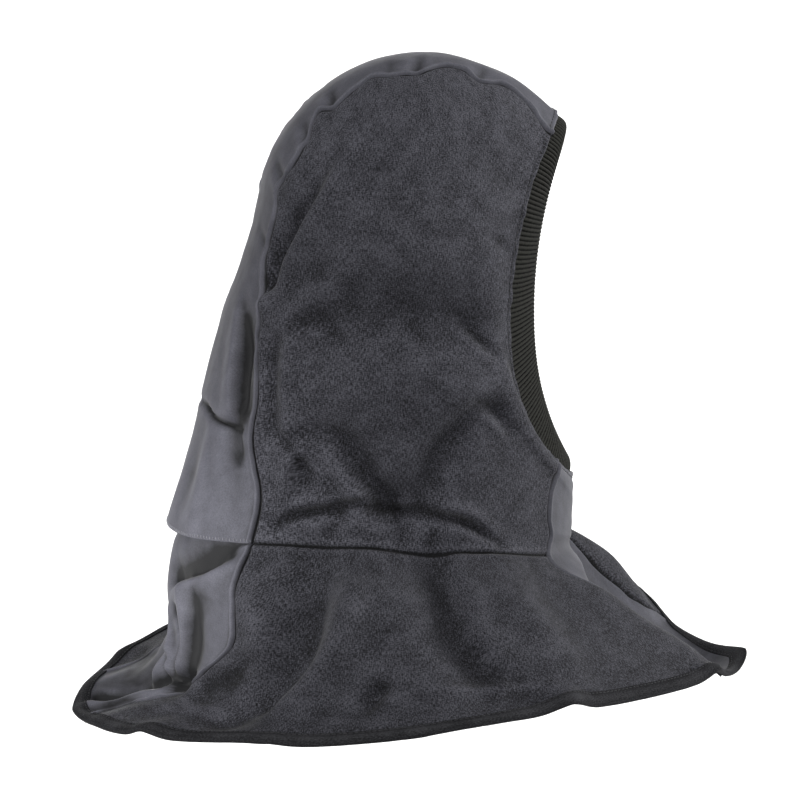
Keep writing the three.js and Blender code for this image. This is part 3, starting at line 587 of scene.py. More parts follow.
def make_mesh(name, points, faces, uv, material, light_paint=None):
    """A smooth-shaded mesh object from points in millimetres; uv is in metres of cloth."""
    mesh = bpy.data.meshes.new(name)
    mesh.from_pydata((np.asarray(points) * MM).tolist(), [], faces)
    # The painted light and shade of each point go to the material through an attribute
    if light_paint is not None:
        painted_light_values = mesh.attributes.new("worn", "FLOAT", "POINT").data
        painted_light_values.foreach_set("value", np.asarray(light_paint, np.float32).ravel())
    if uv is not None:
        corner = np.zeros(len(mesh.loops), np.int32)
        mesh.loops.foreach_get("vertex_index", corner)
        mesh.uv_layers.new(name="cloth").data.foreach_set("uv", np.asarray(uv, np.float32)[corner].ravel())
    mesh.shade_smooth()
    mesh.set_sharp_from_angle(angle=math.radians(SHARP_ANGLE))
    mesh.materials.append(material)
    piece = bpy.data.objects.new(name, mesh)
    bpy.context.scene.collection.objects.link(piece)
    return piece


def sheet_faces(rows, columns):
    """Faces of an outer and an inner grid joined round the rim."""
    number = np.arange(rows * columns).reshape(rows, columns)
    a, b = number[:-1, :-1].ravel(), number[:-1, 1:].ravel()
    c, d = number[1:, 1:].ravel(), number[1:, :-1].ravel()
    under = rows * columns
    faces = np.concatenate([np.stack([a, b, c, d], 1), np.stack([d, c, b, a], 1) + under])
    rim = np.concatenate([number[0, :-1], number[:-1, -1], number[-1, :0:-1], number[:0:-1, 0]])
    after = np.roll(rim, -1)
    return np.concatenate([faces, np.stack([after, rim, rim + under, after + under], 1)]).tolist()


def ring_faces(rows, columns):
    """Faces of a grid that closes on itself both ways."""
    number = np.arange(rows * columns).reshape(rows, columns)
    right, below = np.roll(number, -1, 1), np.roll(number, -1, 0)
    across = np.roll(right, -1, 0)
    return np.stack([number.ravel(), right.ravel(), across.ravel(), below.ravel()], 1).tolist()


def sheet_piece(name, outer, thickness, uv, material, dark, relief_light_part=1.0):
    """A panel of cloth with an inner face under its outer one; dark is the painted shade of its creases and
    seams.
    """
    inner = outer - facing(outer) * np.broadcast_to(thickness, outer.shape[:2])[..., None]
    points = np.concatenate([outer.reshape(-1, 3), inner.reshape(-1, 3)])
    # Painted light from the panel's relief, taken by this part, plus the painted shade of creases and seams
    light_paint = np.tile((relief_light_part * worn(outer) + dark).ravel(), 2)
    faces = sheet_faces(*outer.shape[:2])
    return make_mesh(name, points, faces, np.tile(uv.reshape(-1, 2), (2, 1)), material, light_paint)


# A stitch from end to end: place along it, part of the thread's thickness there
STITCH_SHAPE = [(-0.5, 0.25), (-0.38, 0.8), (0.0, 1.0), (0.38, 0.8), (0.5, 0.25)]
THREAD_SIDES = 6
# How far the middle of a stitch stands up, in thicknesses of the thread
STITCH_BOW = 0.35


def stitches_piece(name, runs, thread, material):
    """Stitches as short rounded threads; runs are pairs of end points with the side they lie on."""
    turn = np.linspace(0, 2 * np.pi, THREAD_SIDES, endpoint=False)[:, None]
    points, faces = [], []
    for start, end, out in runs:
        side = np.cross(unit(end - start), out)
        loop = (np.cos(turn) * side + np.sin(turn) * out) * thread / 2
        for station, fullness in STITCH_SHAPE:
            bow = STITCH_BOW * thread * (1 - (2 * station) ** 2)
            points.extend((start + end) / 2 + (end - start) * station + out * bow + loop * fullness)
    around = range(THREAD_SIDES)
    for first in range(0, len(points), THREAD_SIDES * len(STITCH_SHAPE)):
        last = first + THREAD_SIDES * (len(STITCH_SHAPE) - 1)
        for row in range(first, last, THREAD_SIDES):
            for n in around:
                a, b = row + n, row + (n + 1) % THREAD_SIDES
                faces.append((a, b, b + THREAD_SIDES, a + THREAD_SIDES))
        faces.append(tuple(first + n for n in reversed(around)))
        faces.append(tuple(last + n for n in around))
    return make_mesh(name, points, faces, None, material)


def line_at(grid, from_edge, away, out):
    """The line on a grid that lies that far from an edge, with the outward direction along it."""
    line, facing_out = [], []
    for column in range(grid.shape[1]):
        row = np.interp(away, from_edge[:, column], np.arange(len(grid)))
        low = min(int(row), len(grid) - 2)
        u = row - low
        line.append(grid[low, column] * (1 - u) + grid[low + 1, column] * u)
        facing_out.append(out[low, column])
    return np.array(line), np.array(facing_out)


def running_stitches(line, out, stitch, gap):
    """End points of a row of stitches along a line."""
    walked = lengths(line, 0)
    starts = np.arange(gap, walked[-1] - stitch, stitch + gap)
    sides = unit(at_length(out, walked, starts + stitch / 2))
    return list(zip(at_length(line, walked, starts), at_length(line, walked, starts + stitch), sides))


# Materials
def linear(colour):
    """Linear red, green and blue of an sRGB hex colour."""
    parts = [int(colour[n:n + 2], 16) / 255 for n in (1, 3, 5)]
    return tuple(c / 12.92 if c <= 0.04045 else ((c + 0.055) / 1.055) ** 2.4 for c in parts)


def add(tree, kind, settings=None, stops=(), **inputs):
    """Adds a node with its settings and ramp stops, and sets or links its inputs by socket name."""
    made = tree.nodes.new(kind)
    for name, value in (settings or {}).items():
        setattr(made, name, value)
    for number, (place, colour) in enumerate(stops):
        ends = made.color_ramp.elements
        stop = ends[number] if number < 2 else ends.new(place)
        stop.position = place
        stop.color = (*colour, 1)
    for name, value in inputs.items():
        socket = made.inputs[int(name[1:]) if name[1:].isdigit() else name.replace("_", " ")]
        if isinstance(value, bpy.types.NodeSocket):
            tree.links.new(value, socket)
        else:
            socket.default_value = value
    return made


SCALE_AND_SHIFT = {"operation": "MULTIPLY_ADD"}


def new_material(name):
    """An empty node material, its tree and its surface."""
    material = bpy.data.materials.new(name)
    material.use_nodes = True
    tree = material.node_tree
    tree.nodes.clear()
    surface = add(tree, "ShaderNodeBsdfPrincipled")
    add(tree, "ShaderNodeOutputMaterial", Surface=surface.outputs["BSDF"])
    return material, tree, surface


def cloth_nodes(name):
    """A node material for cloth, with its coordinates along the cloth and its painted light and shade."""
    material, tree, surface = new_material(name)
    uv = add(tree, "ShaderNodeUVMap", {"uv_map": "cloth"}).outputs["UV"]
    light_paint = add(tree, "ShaderNodeAttribute", {"attribute_name": "worn"}).outputs["Fac"]
    return material, tree, surface, uv, light_paint


def finish_cloth(tree, surface, colour, weave, strength, height, **shine):
    """Gives a cloth its colour, the relief of its weave in millimetres and the values of its shine."""
    relief = add(tree, "ShaderNodeBump", Height=weave, Strength=strength, Distance=height * MM)
    tree.links.new(colour, surface.inputs["Base Color"])
    tree.links.new(relief.outputs["Normal"], surface.inputs["Normal"])
    for name, value in shine.items():
        surface.inputs[name.replace("_", " ")].default_value = value


def per_mm(size):
    """Texture scale of a pattern of that size in millimetres, on uv in metres."""
    return 1 / (size * MM)


def streaks(tree, uv, across, along, upright, detail=2.0):
    """Thread slubs: noise drawn out along one direction of the cloth."""
    scale = (per_mm(across), per_mm(along), 1) if upright else (per_mm(along), per_mm(across), 1)
    run = add(tree, "ShaderNodeMapping", Vector=uv, Scale=scale)
    return add(tree, "ShaderNodeTexNoise", Vector=run.outputs["Vector"], Scale=1.0, Detail=detail)


def shade(colour, part):
    """A colour made darker or paler by a part of itself."""
    return tuple(part * c for c in colour)


def woven_heather(name, dark, middle, light):
    """Cotton canvas, plain woven from dyed and paler fibres: matt, with short crossing light flecks."""
    material, tree, surface, uv, light_paint = cloth_nodes(name)
    # The real yarns are about 0.4 mm thick. They are drawn coarser, so that the flecks still show.
    # Sizes in millimetres, then how much each thing counts in the tone.
    yarn, warp_slub, weft_slub, patch = 0.6, 3.0, 1.6, 14
    flecked, patched, painted_light_weight, level = 0.85, 0.34, 0.09, -0.52
    warp = streaks(tree, uv, yarn, warp_slub, True)
    weft = streaks(tree, uv, yarn, weft_slub, False)
    cross = add(tree, "ShaderNodeMath", {"operation": "ADD"}, _0=warp.outputs["Fac"], _1=weft.outputs["Fac"])
    cloud = add(tree, "ShaderNodeTexNoise", Vector=uv, Scale=per_mm(patch), Detail=6.0)
    tone = add(tree, "ShaderNodeMath", SCALE_AND_SHIFT, _0=cloud.outputs["Fac"], _1=patched, _2=level)
    # Painted light and shade darken the tone in creases and seams and pale it on ridges
    tone = add(tree, "ShaderNodeMath", SCALE_AND_SHIFT, _0=light_paint, _1=painted_light_weight, _2=tone.outputs["Value"])
    tone = add(tree, "ShaderNodeMath", SCALE_AND_SHIFT,
               _0=cross.outputs["Value"], _1=flecked, _2=tone.outputs["Value"])
    # The ramp's far ends take the painted shade to near black and the painted highlight paler
    ends = [(0.28, shade(dark, 0.12)), (0.72, shade(light, 1.3))]
    stops = [*ends, (0.40, dark), (0.50, middle), (0.62, light)]
    ramp = add(tree, "ShaderNodeValToRGB", stops=stops, Fac=tone.outputs["Value"])
    finish_cloth(tree, surface, ramp.outputs["Color"], cross.outputs["Value"], strength=0.45, height=0.6,
                 Roughness=0.9, Specular_IOR_Level=0.25, Sheen_Weight=0.06, Sheen_Roughness=0.45)
    return material


def smooth_twill(name, dark, light):
    """Fine grey twill, calendered: smooth, with a faint sheen, a fine slanting grain and pale patches."""
    material, tree, surface, uv, light_paint = cloth_nodes(name)
    # The real wales are about 0.4 mm apart. They are drawn coarser, so that the grain still shows.
    # Sizes in millimetres and a slant in degrees, then how much each thing counts in the tone.
    wale, wale_run, slant, patch = 0.7, 1.3, 35, 12
    patched, painted_light_weight, level, plain_grain = 0.55, 0.35, 0.225, 0.5
    turned = add(tree, "ShaderNodeMapping", Vector=uv, Rotation=(0, 0, math.radians(slant)))
    wales = streaks(tree, turned.outputs["Vector"], wale, wale_run, True).outputs["Fac"]
    cloud = add(tree, "ShaderNodeTexNoise", Vector=uv, Scale=per_mm(patch), Detail=6.0, Roughness=0.6)
    tone = add(tree, "ShaderNodeMath", SCALE_AND_SHIFT, _0=cloud.outputs["Fac"], _1=patched, _2=level)
    # Painted light and shade darken the tone in creases and seams and pale it on ridges; the ramp's far ends
    # take them to near black and paler
    tone = add(tree, "ShaderNodeMath", SCALE_AND_SHIFT, _0=light_paint, _1=painted_light_weight, _2=tone.outputs["Value"])
    stops = [(0.10, shade(dark, 0.1)), (0.90, shade(light, 1.6)), (0.40, dark), (0.60, light)]
    ramp = add(tree, "ShaderNodeValToRGB", stops=stops, Fac=tone.outputs["Value"])
    grain = add(tree, "ShaderNodeMath", {"operation": "ADD"}, _0=wales, _1=plain_grain)
    woven = add(tree, "ShaderNodeVectorMath", {"operation": "SCALE"},
                _0=ramp.outputs["Color"], Scale=grain.outputs["Value"])
    finish_cloth(tree, surface, woven.outputs["Vector"], wales, strength=0.18, height=0.4,
                 Roughness=0.72, Specular_IOR_Level=0.35, Sheen_Weight=0.10, Sheen_Roughness=0.4)
    return material


def knit_cotton(name, dark, light, loop):
    """Cotton knit: soft and matt, with rows of small loops; painted shade darkens it between the ribs."""
    material, tree, surface, uv, light_paint = cloth_nodes(name)
    loop_length, painted_light_weight = 1.6 * loop, 0.40
    loops = streaks(tree, uv, loop, loop_length, False, 1.0).outputs["Fac"]
    tone = add(tree, "ShaderNodeMath", SCALE_AND_SHIFT, _0=light_paint, _1=painted_light_weight, _2=loops)
    ramp = add(tree, "ShaderNodeValToRGB", stops=[(0.25, dark), (0.80, light)], Fac=tone.outputs["Value"])
    finish_cloth(tree, surface, ramp.outputs["Color"], loops, strength=0.5, height=0.6,
                 Roughness=0.9, Specular_IOR_Level=0.12)
    return material


def spun_thread(name, colour):
    """Spun polyester thread, twisted: a dull lustre along each stitch."""
    material, tree, surface = new_material(name)
    # The real twist is about 0.3 mm long. It is drawn coarser, so that it still shows.
    ply = 0.8
    place = add(tree, "ShaderNodeTexCoord").outputs["Object"]
    twist = add(tree, "ShaderNodeTexNoise", Vector=place, Scale=per_mm(ply), Detail=2.0)
    stops = [(0.35, shade(colour, 0.6)), (0.65, colour)]
    ramp = add(tree, "ShaderNodeValToRGB", stops=stops, Fac=twist.outputs["Fac"])
    tree.links.new(ramp.outputs["Color"], surface.inputs["Base Color"])
    surface.inputs["Roughness"].default_value = 0.6
    return material


def painted_board(name, colour):
    """Matt white board: even and without gloss."""
    material, _, surface = new_material(name)
    surface.inputs["Base Color"].default_value = (*colour, 1)
    surface.inputs["Roughness"].default_value = 0.9
    surface.inputs["Specular IOR Level"].default_value = 0.1
    return material


# The cape's canvas is a copy of the canvas made darker by this part, as painted shade.
CAPE_PAINTED_SHADE = 0.78
# Size of a knitted loop in millimetres
RIB_LOOP, JERSEY_LOOP = 1.3, 0.9


def cloth_material(name):
    """One of the hood's materials, made when it is first asked for."""
    if name in bpy.data.materials:
        return bpy.data.materials[name]
    colours = bpy.context.scene.hood_colours
    canvas = (colours.canvas_dark, colours.canvas, colours.canvas_fleck)
    makers = {
        "charcoal_canvas_woven": (woven_heather, *canvas),
        "charcoal_canvas_woven_deep": (woven_heather, *(shade(colour, CAPE_PAINTED_SHADE) for colour in canvas)),
        "grey_twill_woven": (smooth_twill, colours.twill_dark, colours.twill),
        "black_cotton_rib_knit": (knit_cotton, colours.rib_dark, colours.rib, RIB_LOOP),
        "dark_jersey_binding_knit": (knit_cotton, colours.binding_dark, colours.binding, JERSEY_LOOP),
        "dark_spun_thread": (spun_thread, colours.thread),
        "pale_spun_thread": (spun_thread, colours.overlock),
        "white_board_painted": (painted_board, colours.floor),
    }
    maker, *values = makers[name]
    return maker(name, *values)


# Settings
def length_setting(name, description, default, low, high):
    """A setting for a length given in millimetres."""
    return bpy.props.FloatProperty(
        name=name, description=description, default=default * MM, min=low * MM, max=high * MM,
        unit="LENGTH", subtype="DISTANCE", precision=5,
    )


def colour_setting(name, description, default):
    """A setting for a colour given as sRGB hex."""
    return bpy.props.FloatVectorProperty(
        name=name, description=description, default=linear(default), size=3, min=0, max=1, subtype="COLOR",
    )


class HoodSizes(bpy.types.PropertyGroup):
    """Sizes of the cloth, knit, binding and stitches."""

    cloth_thickness: length_setting("Cloth thickness", "Thickness of canvas and twill", 1.5, 0.5, 3)
    flap_hem_thickness: length_setting("Flap hem", "Thickness of the flap's turned hem", 2.6, 1, 5)
    wrinkle: length_setting("Wrinkles", "Height of the small soft wrinkles", 0.55, 0, 3)
    cuff_thickness: length_setting("Cuff thickness", "Thickness of the doubled rib knit", 3.0, 1, 6)
    cuff_tuck: length_setting("Cuff set-in", "How far the cuff lies under the panel edge", 1.4, 0, 5)
    rib_height: length_setting("Rib height", "Height of a rib over the valleys beside it", 1.3, 0, 2)
    binding_height: length_setting("Binding height", "Height of the hem binding", 9.0, 4, 20)
    binding_thickness: length_setting("Binding thickness", "Thickness of the binding strip", 1.2, 0.5, 3)
    stitch: length_setting("Stitch", "Length of a stitch", 2.7, 1, 6)
    stitch_gap: length_setting("Stitch gap", "Gap between two stitches", 1.0, 0.2, 4)
    thread: length_setting("Thread", "Thickness of the sewing thread", 0.6, 0.2, 1.5)
    ribs: bpy.props.IntProperty(name="Ribs", description="Ribs round the cuff", default=212, min=40, max=400)


class HoodColours(bpy.types.PropertyGroup):
    """Colours of the cloths and threads."""

    canvas_dark: colour_setting("Canvas, dark", "Darkest yarns of the canvas", "#28282d")
    canvas: colour_setting("Canvas", "Main colour of the canvas", "#39393f")
    canvas_fleck: colour_setting("Canvas, fleck", "Pale flecks of the canvas", "#525259")
    twill_dark: colour_setting("Twill, dark", "Darker threads of the twill", "#47474d")
    twill: colour_setting("Twill", "Main colour of the twill", "#57575f")
    rib_dark: colour_setting("Rib, dark", "Shaded loops of the rib knit", "#0b0b0a")
    rib: colour_setting("Rib", "Main colour of the rib knit", "#363633")
    binding_dark: colour_setting("Binding, dark", "Shaded loops of the binding", "#1c1c1e")
    binding: colour_setting("Binding", "Main colour of the binding", "#424245")
    thread: colour_setting("Thread", "Colour of the sewing thread", "#232327")
    overlock: colour_setting("Overlock thread", "Colour of the flap hem's thread", "#8d8d94")
    floor: colour_setting("Floor", "Colour of the floor", "#f4f4f4")


def dress(piece, node):
    """Lets a piece stand for its CAD node and ride with the hood."""
    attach(piece, "root")
    if node:
        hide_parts(node)
    return piece


# Mean distances of the canvas from the hood's upright axis, in millimetres
HEAD_RADIUS, CAPE_RADIUS = 100, 150


def round_uv(outer, radius, upright):
    """Cloth coordinates in metres round the hood's upright axis, with the weave upright on its sides."""
    return np.stack([radius * np.arctan2(outer[..., 1], np.abs(outer[..., 0])), upright], -1) * MM


def strip_uv(outer):
    """Cloth coordinates in metres along and across a strip, from its middle line."""
    across = lengths(outer, 1)
    return np.stack([across - across[:, -1:] / 2, lengths(outer, 0)], -1) * MM


Goods = namedtuple("Goods", "slot material")
TWILL = Goods("grey_twill", "grey_twill_woven")
CANVAS = Goods("charcoal_canvas", "charcoal_canvas_woven")
CAPE_CANVAS = Goods("charcoal_canvas", "charcoal_canvas_woven_deep")


def sew_panel(name, goods, cloth, seams, outer, uv, thickness, relief_light_part=1.0):
    """A panel of cloth in the place of its CAD node."""
    material, dark = cloth_material(goods.material), shadows(cloth, seams)
    panel = sheet_piece(f"{name}_cloth", outer, thickness / MM, uv, material, dark, relief_light_part)
    return dress(panel, name)


# Distance of the stitches from the panels' face edges, in millimetres
FACE_STITCH_AWAY = 4.2


def edge_stitches(name, cloth, outer, sizes):
    """A row of stitches along a panel's face edge."""
    line, out = line_at(outer, cloth.top, FACE_STITCH_AWAY, cloth.out)
    runs = running_stitches(line, out, sizes.stitch / MM, sizes.stitch_gap / MM)
    piece = stitches_piece(f"{name}_stitches", runs, sizes.thread / MM, cloth_material("dark_spun_thread"))
    return dress(piece, None)


FELLED_SIDES = {"left": FELLED_EDGE, "right": FELLED_EDGE}
DITCHED_SIDES = {"left": DITCH_EDGE, "right": DITCH_EDGE}
HALVES = (("right", right_span), ("left", left_span))
# Height of the flap's turned hem, in millimetres
FLAP_HEM = 9
# Zigzag over the flap's raw edge, in millimetres: its low and high points over the edge, the step from one
# stitch to the next, how far a stitch leans, how unevenly it does so, and the thickness of its thread
OVERLOCK_LOW, OVERLOCK_HIGH, OVERLOCK_STEP = 0.4, 2.6, 2.6
OVERLOCK_LEAN, OVERLOCK_JITTER, OVERLOCK_THREAD = 0.7, 0.35, 0.65
OVERLOCK_MARGIN, OVERLOCK_SEED = 2.0, 5


class HOOD_OT_crown_band(bpy.types.Operator):
    """Make the crown band with its loose flap and hem"""

    bl_idname = "hood.crown_band"
    bl_label = "Crown band"

    def execute(self, context):
        sizes = context.scene.hood_sizes
        cloth = lay_out(HEAD_ROWS, middle_span, BAND_COLUMNS, HEAD_FOLD_LINES)
        seams = {**FELLED_SIDES, "top": TURNED_EDGE}
        outer = sewn(cloth, seams, sizes.wrinkle / MM)
        across = (cloth.left - cloth.right) / (cloth.left + cloth.right)
        stand = FLAP_STAND_OFF * smooth((cloth.ring - FLAP_STARTS) / (NECK - FLAP_STARTS)) * (1 - across**2)
        outer = outer + cloth.out * stand[..., None]
        hem = smooth(1 - cloth.bottom / FLAP_HEM)
        thick = sizes.cloth_thickness + (sizes.flap_hem_thickness - sizes.cloth_thickness) * hem
        band = sew_panel("crown_band", TWILL, cloth, seams, outer, strip_uv(outer), thick)
        edge = edge_stitches("crown_band", cloth, outer, sizes)
        overlock = self.overlock(cloth, outer)
        return {"FINISHED"}

    def overlock(self, cloth, outer):
        """Zigzag of pale thread over the flap's raw edge."""
        low, out = line_at(outer[::-1], cloth.bottom[::-1], OVERLOCK_LOW, cloth.out[::-1])
        high, _ = line_at(outer[::-1], cloth.bottom[::-1], OVERLOCK_HIGH, cloth.out[::-1])
        walked = lengths(low, 0)
        places = np.arange(OVERLOCK_MARGIN, walked[-1] - OVERLOCK_MARGIN, OVERLOCK_STEP)
        jitter = np.random.default_rng(OVERLOCK_SEED).uniform(-OVERLOCK_JITTER, OVERLOCK_JITTER, len(places))
        tips = at_length(high, walked, places + OVERLOCK_LEAN + jitter)
        runs = list(zip(at_length(low, walked, places), tips, at_length(out, walked, places)))
        piece = stitches_piece("flap_overlock", runs, OVERLOCK_THREAD, cloth_material("pale_spun_thread"))
        return dress(piece, None)


class HOOD_OT_side_panels(bpy.types.Operator):
    """Make the two side panels"""

    bl_idname = "hood.side_panels"
    bl_label = "Side panels"

    def execute(self, context):
        sizes = context.scene.hood_sizes
        seams = {**DITCHED_SIDES, "top": TURNED_EDGE, "bottom": NECK_EDGE}
        for side, span in HALVES:
            name = f"side_panel_{side}"
            cloth = lay_out(HEAD_ROWS, span, SIDE_COLUMNS)
            outer = sewn(cloth, seams, sizes.wrinkle / MM)
            uv = round_uv(outer, HEAD_RADIUS, outer[..., 2])
            panel = sew_panel(name, CANVAS, cloth, seams, outer, uv, sizes.cloth_thickness)
            edge = edge_stitches(name, cloth, outer, sizes)
        return {"FINISHED"}


class HOOD_OT_front_panel(bpy.types.Operator):
    """Make the front panel under the chin"""

    bl_idname = "hood.front_panel"
    bl_label = "Front panel"

    def execute(self, context):
        sizes = context.scene.hood_sizes
        cloth = lay_out(np.concatenate([HEAD_ROWS, CAPE_ROWS[1:]]), front_span, FRONT_COLUMNS)
        seams = {**FELLED_SIDES, "top": TURNED_EDGE, "bottom": HEM_EDGE}
        outer = sewn(cloth, seams, sizes.wrinkle / MM)
        panel = sew_panel("front_panel", TWILL, cloth, seams, outer, strip_uv(outer), sizes.cloth_thickness,
                          FRONT_RELIEF_LIGHT_PART)
        edge = edge_stitches("front_panel", cloth, outer, sizes)
        return {"FINISHED"}


# Under the flap the back panel starts at this ring number, with this many rows above the neck seam. There it
# lies below the flap by this gap, and comes up over these lengths at its sides and in its middle, the middle
# being this far in. All in millimetres.
BACK_PANEL_STARTS, HIDDEN_ROWS = 7.76, 9
UNDER_FLAP_GAP, RISE_AT_SIDES, RISE_IN_MIDDLE, MIDDLE_STARTS = 0.8, 1.5, 17.5, 30


class HOOD_OT_back_panel(bpy.types.Operator):
    """Make the back panel that starts under the flap"""

    bl_idname = "hood.back_panel"
    bl_label = "Back panel"

    def execute(self, context):
        sizes = context.scene.hood_sizes
        hidden = np.linspace(BACK_PANEL_STARTS, NECK, HIDDEN_ROWS + 1)[:-1]
        cloth = lay_out(np.concatenate([hidden, CAPE_ROWS]), middle_span, BACK_COLUMNS)
        seams = {**FELLED_SIDES, "bottom": HEM_EDGE}
        outer = sewn(cloth, seams, sizes.wrinkle / MM)
        below_flap = cloth.top - cloth.top[HIDDEN_ROWS]
        inside = smooth(np.minimum(cloth.left, cloth.right) / MIDDLE_STARTS)
        rise_over = RISE_AT_SIDES + (RISE_IN_MIDDLE - RISE_AT_SIDES) * inside
        tuck = (sizes.flap_hem_thickness / MM + UNDER_FLAP_GAP) * (1 - smooth(below_flap / rise_over))
        outer = outer - cloth.out * tuck[..., None]
        panel = sew_panel("back_panel", TWILL, cloth, seams, outer, strip_uv(outer), sizes.cloth_thickness)
        return {"FINISHED"}


class HOOD_OT_capes(bpy.types.Operator):
    """Make the two halves of the cape"""

    bl_idname = "hood.capes"
    bl_label = "Cape halves"

    def execute(self, context):
        sizes = context.scene.hood_sizes
        seams = {**DITCHED_SIDES, "top": NECK_EDGE, "bottom": HEM_EDGE}
        for side, span in HALVES:
            cloth = lay_out(CAPE_ROWS, span, SIDE_COLUMNS)
            outer = sewn(cloth, seams, sizes.wrinkle / MM)
            uv = round_uv(outer, CAPE_RADIUS, -cloth.top)
            panel = sew_panel(f"cape_{side}", CAPE_CANVAS, cloth, seams, outer, uv, sizes.cloth_thickness)
        return {"FINISHED"}


# The cuff's lines from under the panels to its free edge, by ring number; they come back on the inside.
CUFF_RINGS = np.array([1.12, 1.02, 0.94, 0.82, 0.68, 0.54, 0.40, 0.27, 0.16, 0.08, 0.03])
# How the wall rolls over at the free edge, 0 on its outside and 1 on its inside
CUFF_ROLL = [0.06, 0.16, 0.30, 0.5, 0.70, 0.84, 0.94]
# Steps round a rib, and a power under 1 that makes the ribs full and the valleys narrow
RIB_STEPS, RIB_FULLNESS = 8, 0.7
# In millimetres: how far the cuff bulges, how far the ribs reach over its free edge, its length round it
CUFF_BULGE, RIB_REACH, CUFF_LENGTH = 1.6, 0.9, 616
# Ring number up to which the free edge shows its ribs, the height of rib that stays level with it, and the
# ring number that gives the edge its direction
CUFF_EDGE, LEVEL_RIB, EDGE_NEXT = 0.2, 0.6, 0.05


class HOOD_OT_face_cuff(bpy.types.Operator):
    """Make the ribbed knit cuff round the face opening"""

    bl_idname = "hood.face_cuff"
    bl_label = "Face cuff"

    def execute(self, context):
        sizes = context.scene.hood_sizes
        columns = sizes.ribs * RIB_STEPS
        turn = np.arange(columns) / columns
        share = 2 * turn - 1
        rib = np.abs(np.sin(np.pi * sizes.ribs * turn))[:, None] ** RIB_FULLNESS
        rings = np.concatenate([CUFF_RINGS, [0.0], CUFF_RINGS[::-1]])
        flat_lines = (len(rings) - len(CUFF_ROLL)) // 2
        layer = np.concatenate([np.zeros(flat_lines), CUFF_ROLL, np.ones(flat_lines)])
        grid_ring = np.broadcast_to(rings, (columns, len(rings)))
        grid_share = np.broadcast_to(share[:, None], grid_ring.shape)
        place, out = plain(grid_ring, grid_share), outwards(grid_ring, grid_share)
        bulge = CUFF_BULGE * np.sin(np.pi * np.clip(1 - grid_ring, 0, 1)) * (1 - layer)
        ribbed = sizes.rib_height / MM * (1 - rib) * (2 * layer - 1)
        height = bulge - sizes.cuff_tuck / MM - sizes.cuff_thickness / MM * layer + ribbed
        edge = unit(plain(np.zeros(columns), share) - plain(np.full(columns, EDGE_NEXT), share))
        reach = RIB_REACH * smooth((CUFF_EDGE - grid_ring) / CUFF_EDGE) * (rib - LEVEL_RIB)
        points = place + out * height[..., None] + edge[:, None, :] * reach[..., None]
        across = lengths(points, 1)
        around = np.broadcast_to((turn * CUFF_LENGTH)[:, None], across.shape)
        uv = np.stack([around, across], -1) * MM
        # The cuff is painted paler on its ribs as a highlight and darker between them as shade
        light_paint = np.broadcast_to(2 * rib - 1, across.shape)
        cuff = make_mesh("face_cuff_knit", points.reshape(-1, 3), ring_faces(*points.shape[:2]),
                         uv.reshape(-1, 2), cloth_material("black_cotton_rib_knit"), light_paint)
        dress(cuff, "face_cuff")
        return {"FINISHED"}


# The binding's lines from its upper edge down to the hem: rise in parts of its height, swell in parts of its
# wall. Its stitches lie on the third line, where it is pulled in.
BINDING_COLUMNS = 620
BINDING_RISE = np.array([9.0, 8.6, 7.6, 6.2, 4.6, 3.0, 1.4, 0.0]) / 9
BINDING_SWELL = np.array([0.35, 0.75, 0.55, 0.75, 1.0, 1.05, 0.9, 0.6])
STITCHED_LINE, FULL_LINE = 2, 4
# In millimetres: air in the folded wall, its thickness under the hem, the gap round the cape's edge in it
BINDING_AIR, BINDING_UNDER, BINDING_GAP = 0.4, 1.9, 0.12
# How much of the bumps the binding's face and its lower edge take
FACE_BUMPS, UNDER_BUMPS = 0.3, 0.4
# The lower edge from front to back: part of the thickness under the hem, millimetres outwards
BINDING_FOOT = [(0.7, 0.55), (1.0, -0.4), (1.0, -1.2), (0.7, -2.4)]
# Painted shade of the binding's inside, and on its face the painted light taken off and the part of the bumps
# added
INSIDE_PAINTED_SHADE, FACE_PAINTED_LIGHT_SHIFT, BUMP_PAINTED_LIGHT = -0.3, -0.9, 0.9
# Ring numbers above the hem over which the length of cloth there is measured
HEM_STEP = 0.2


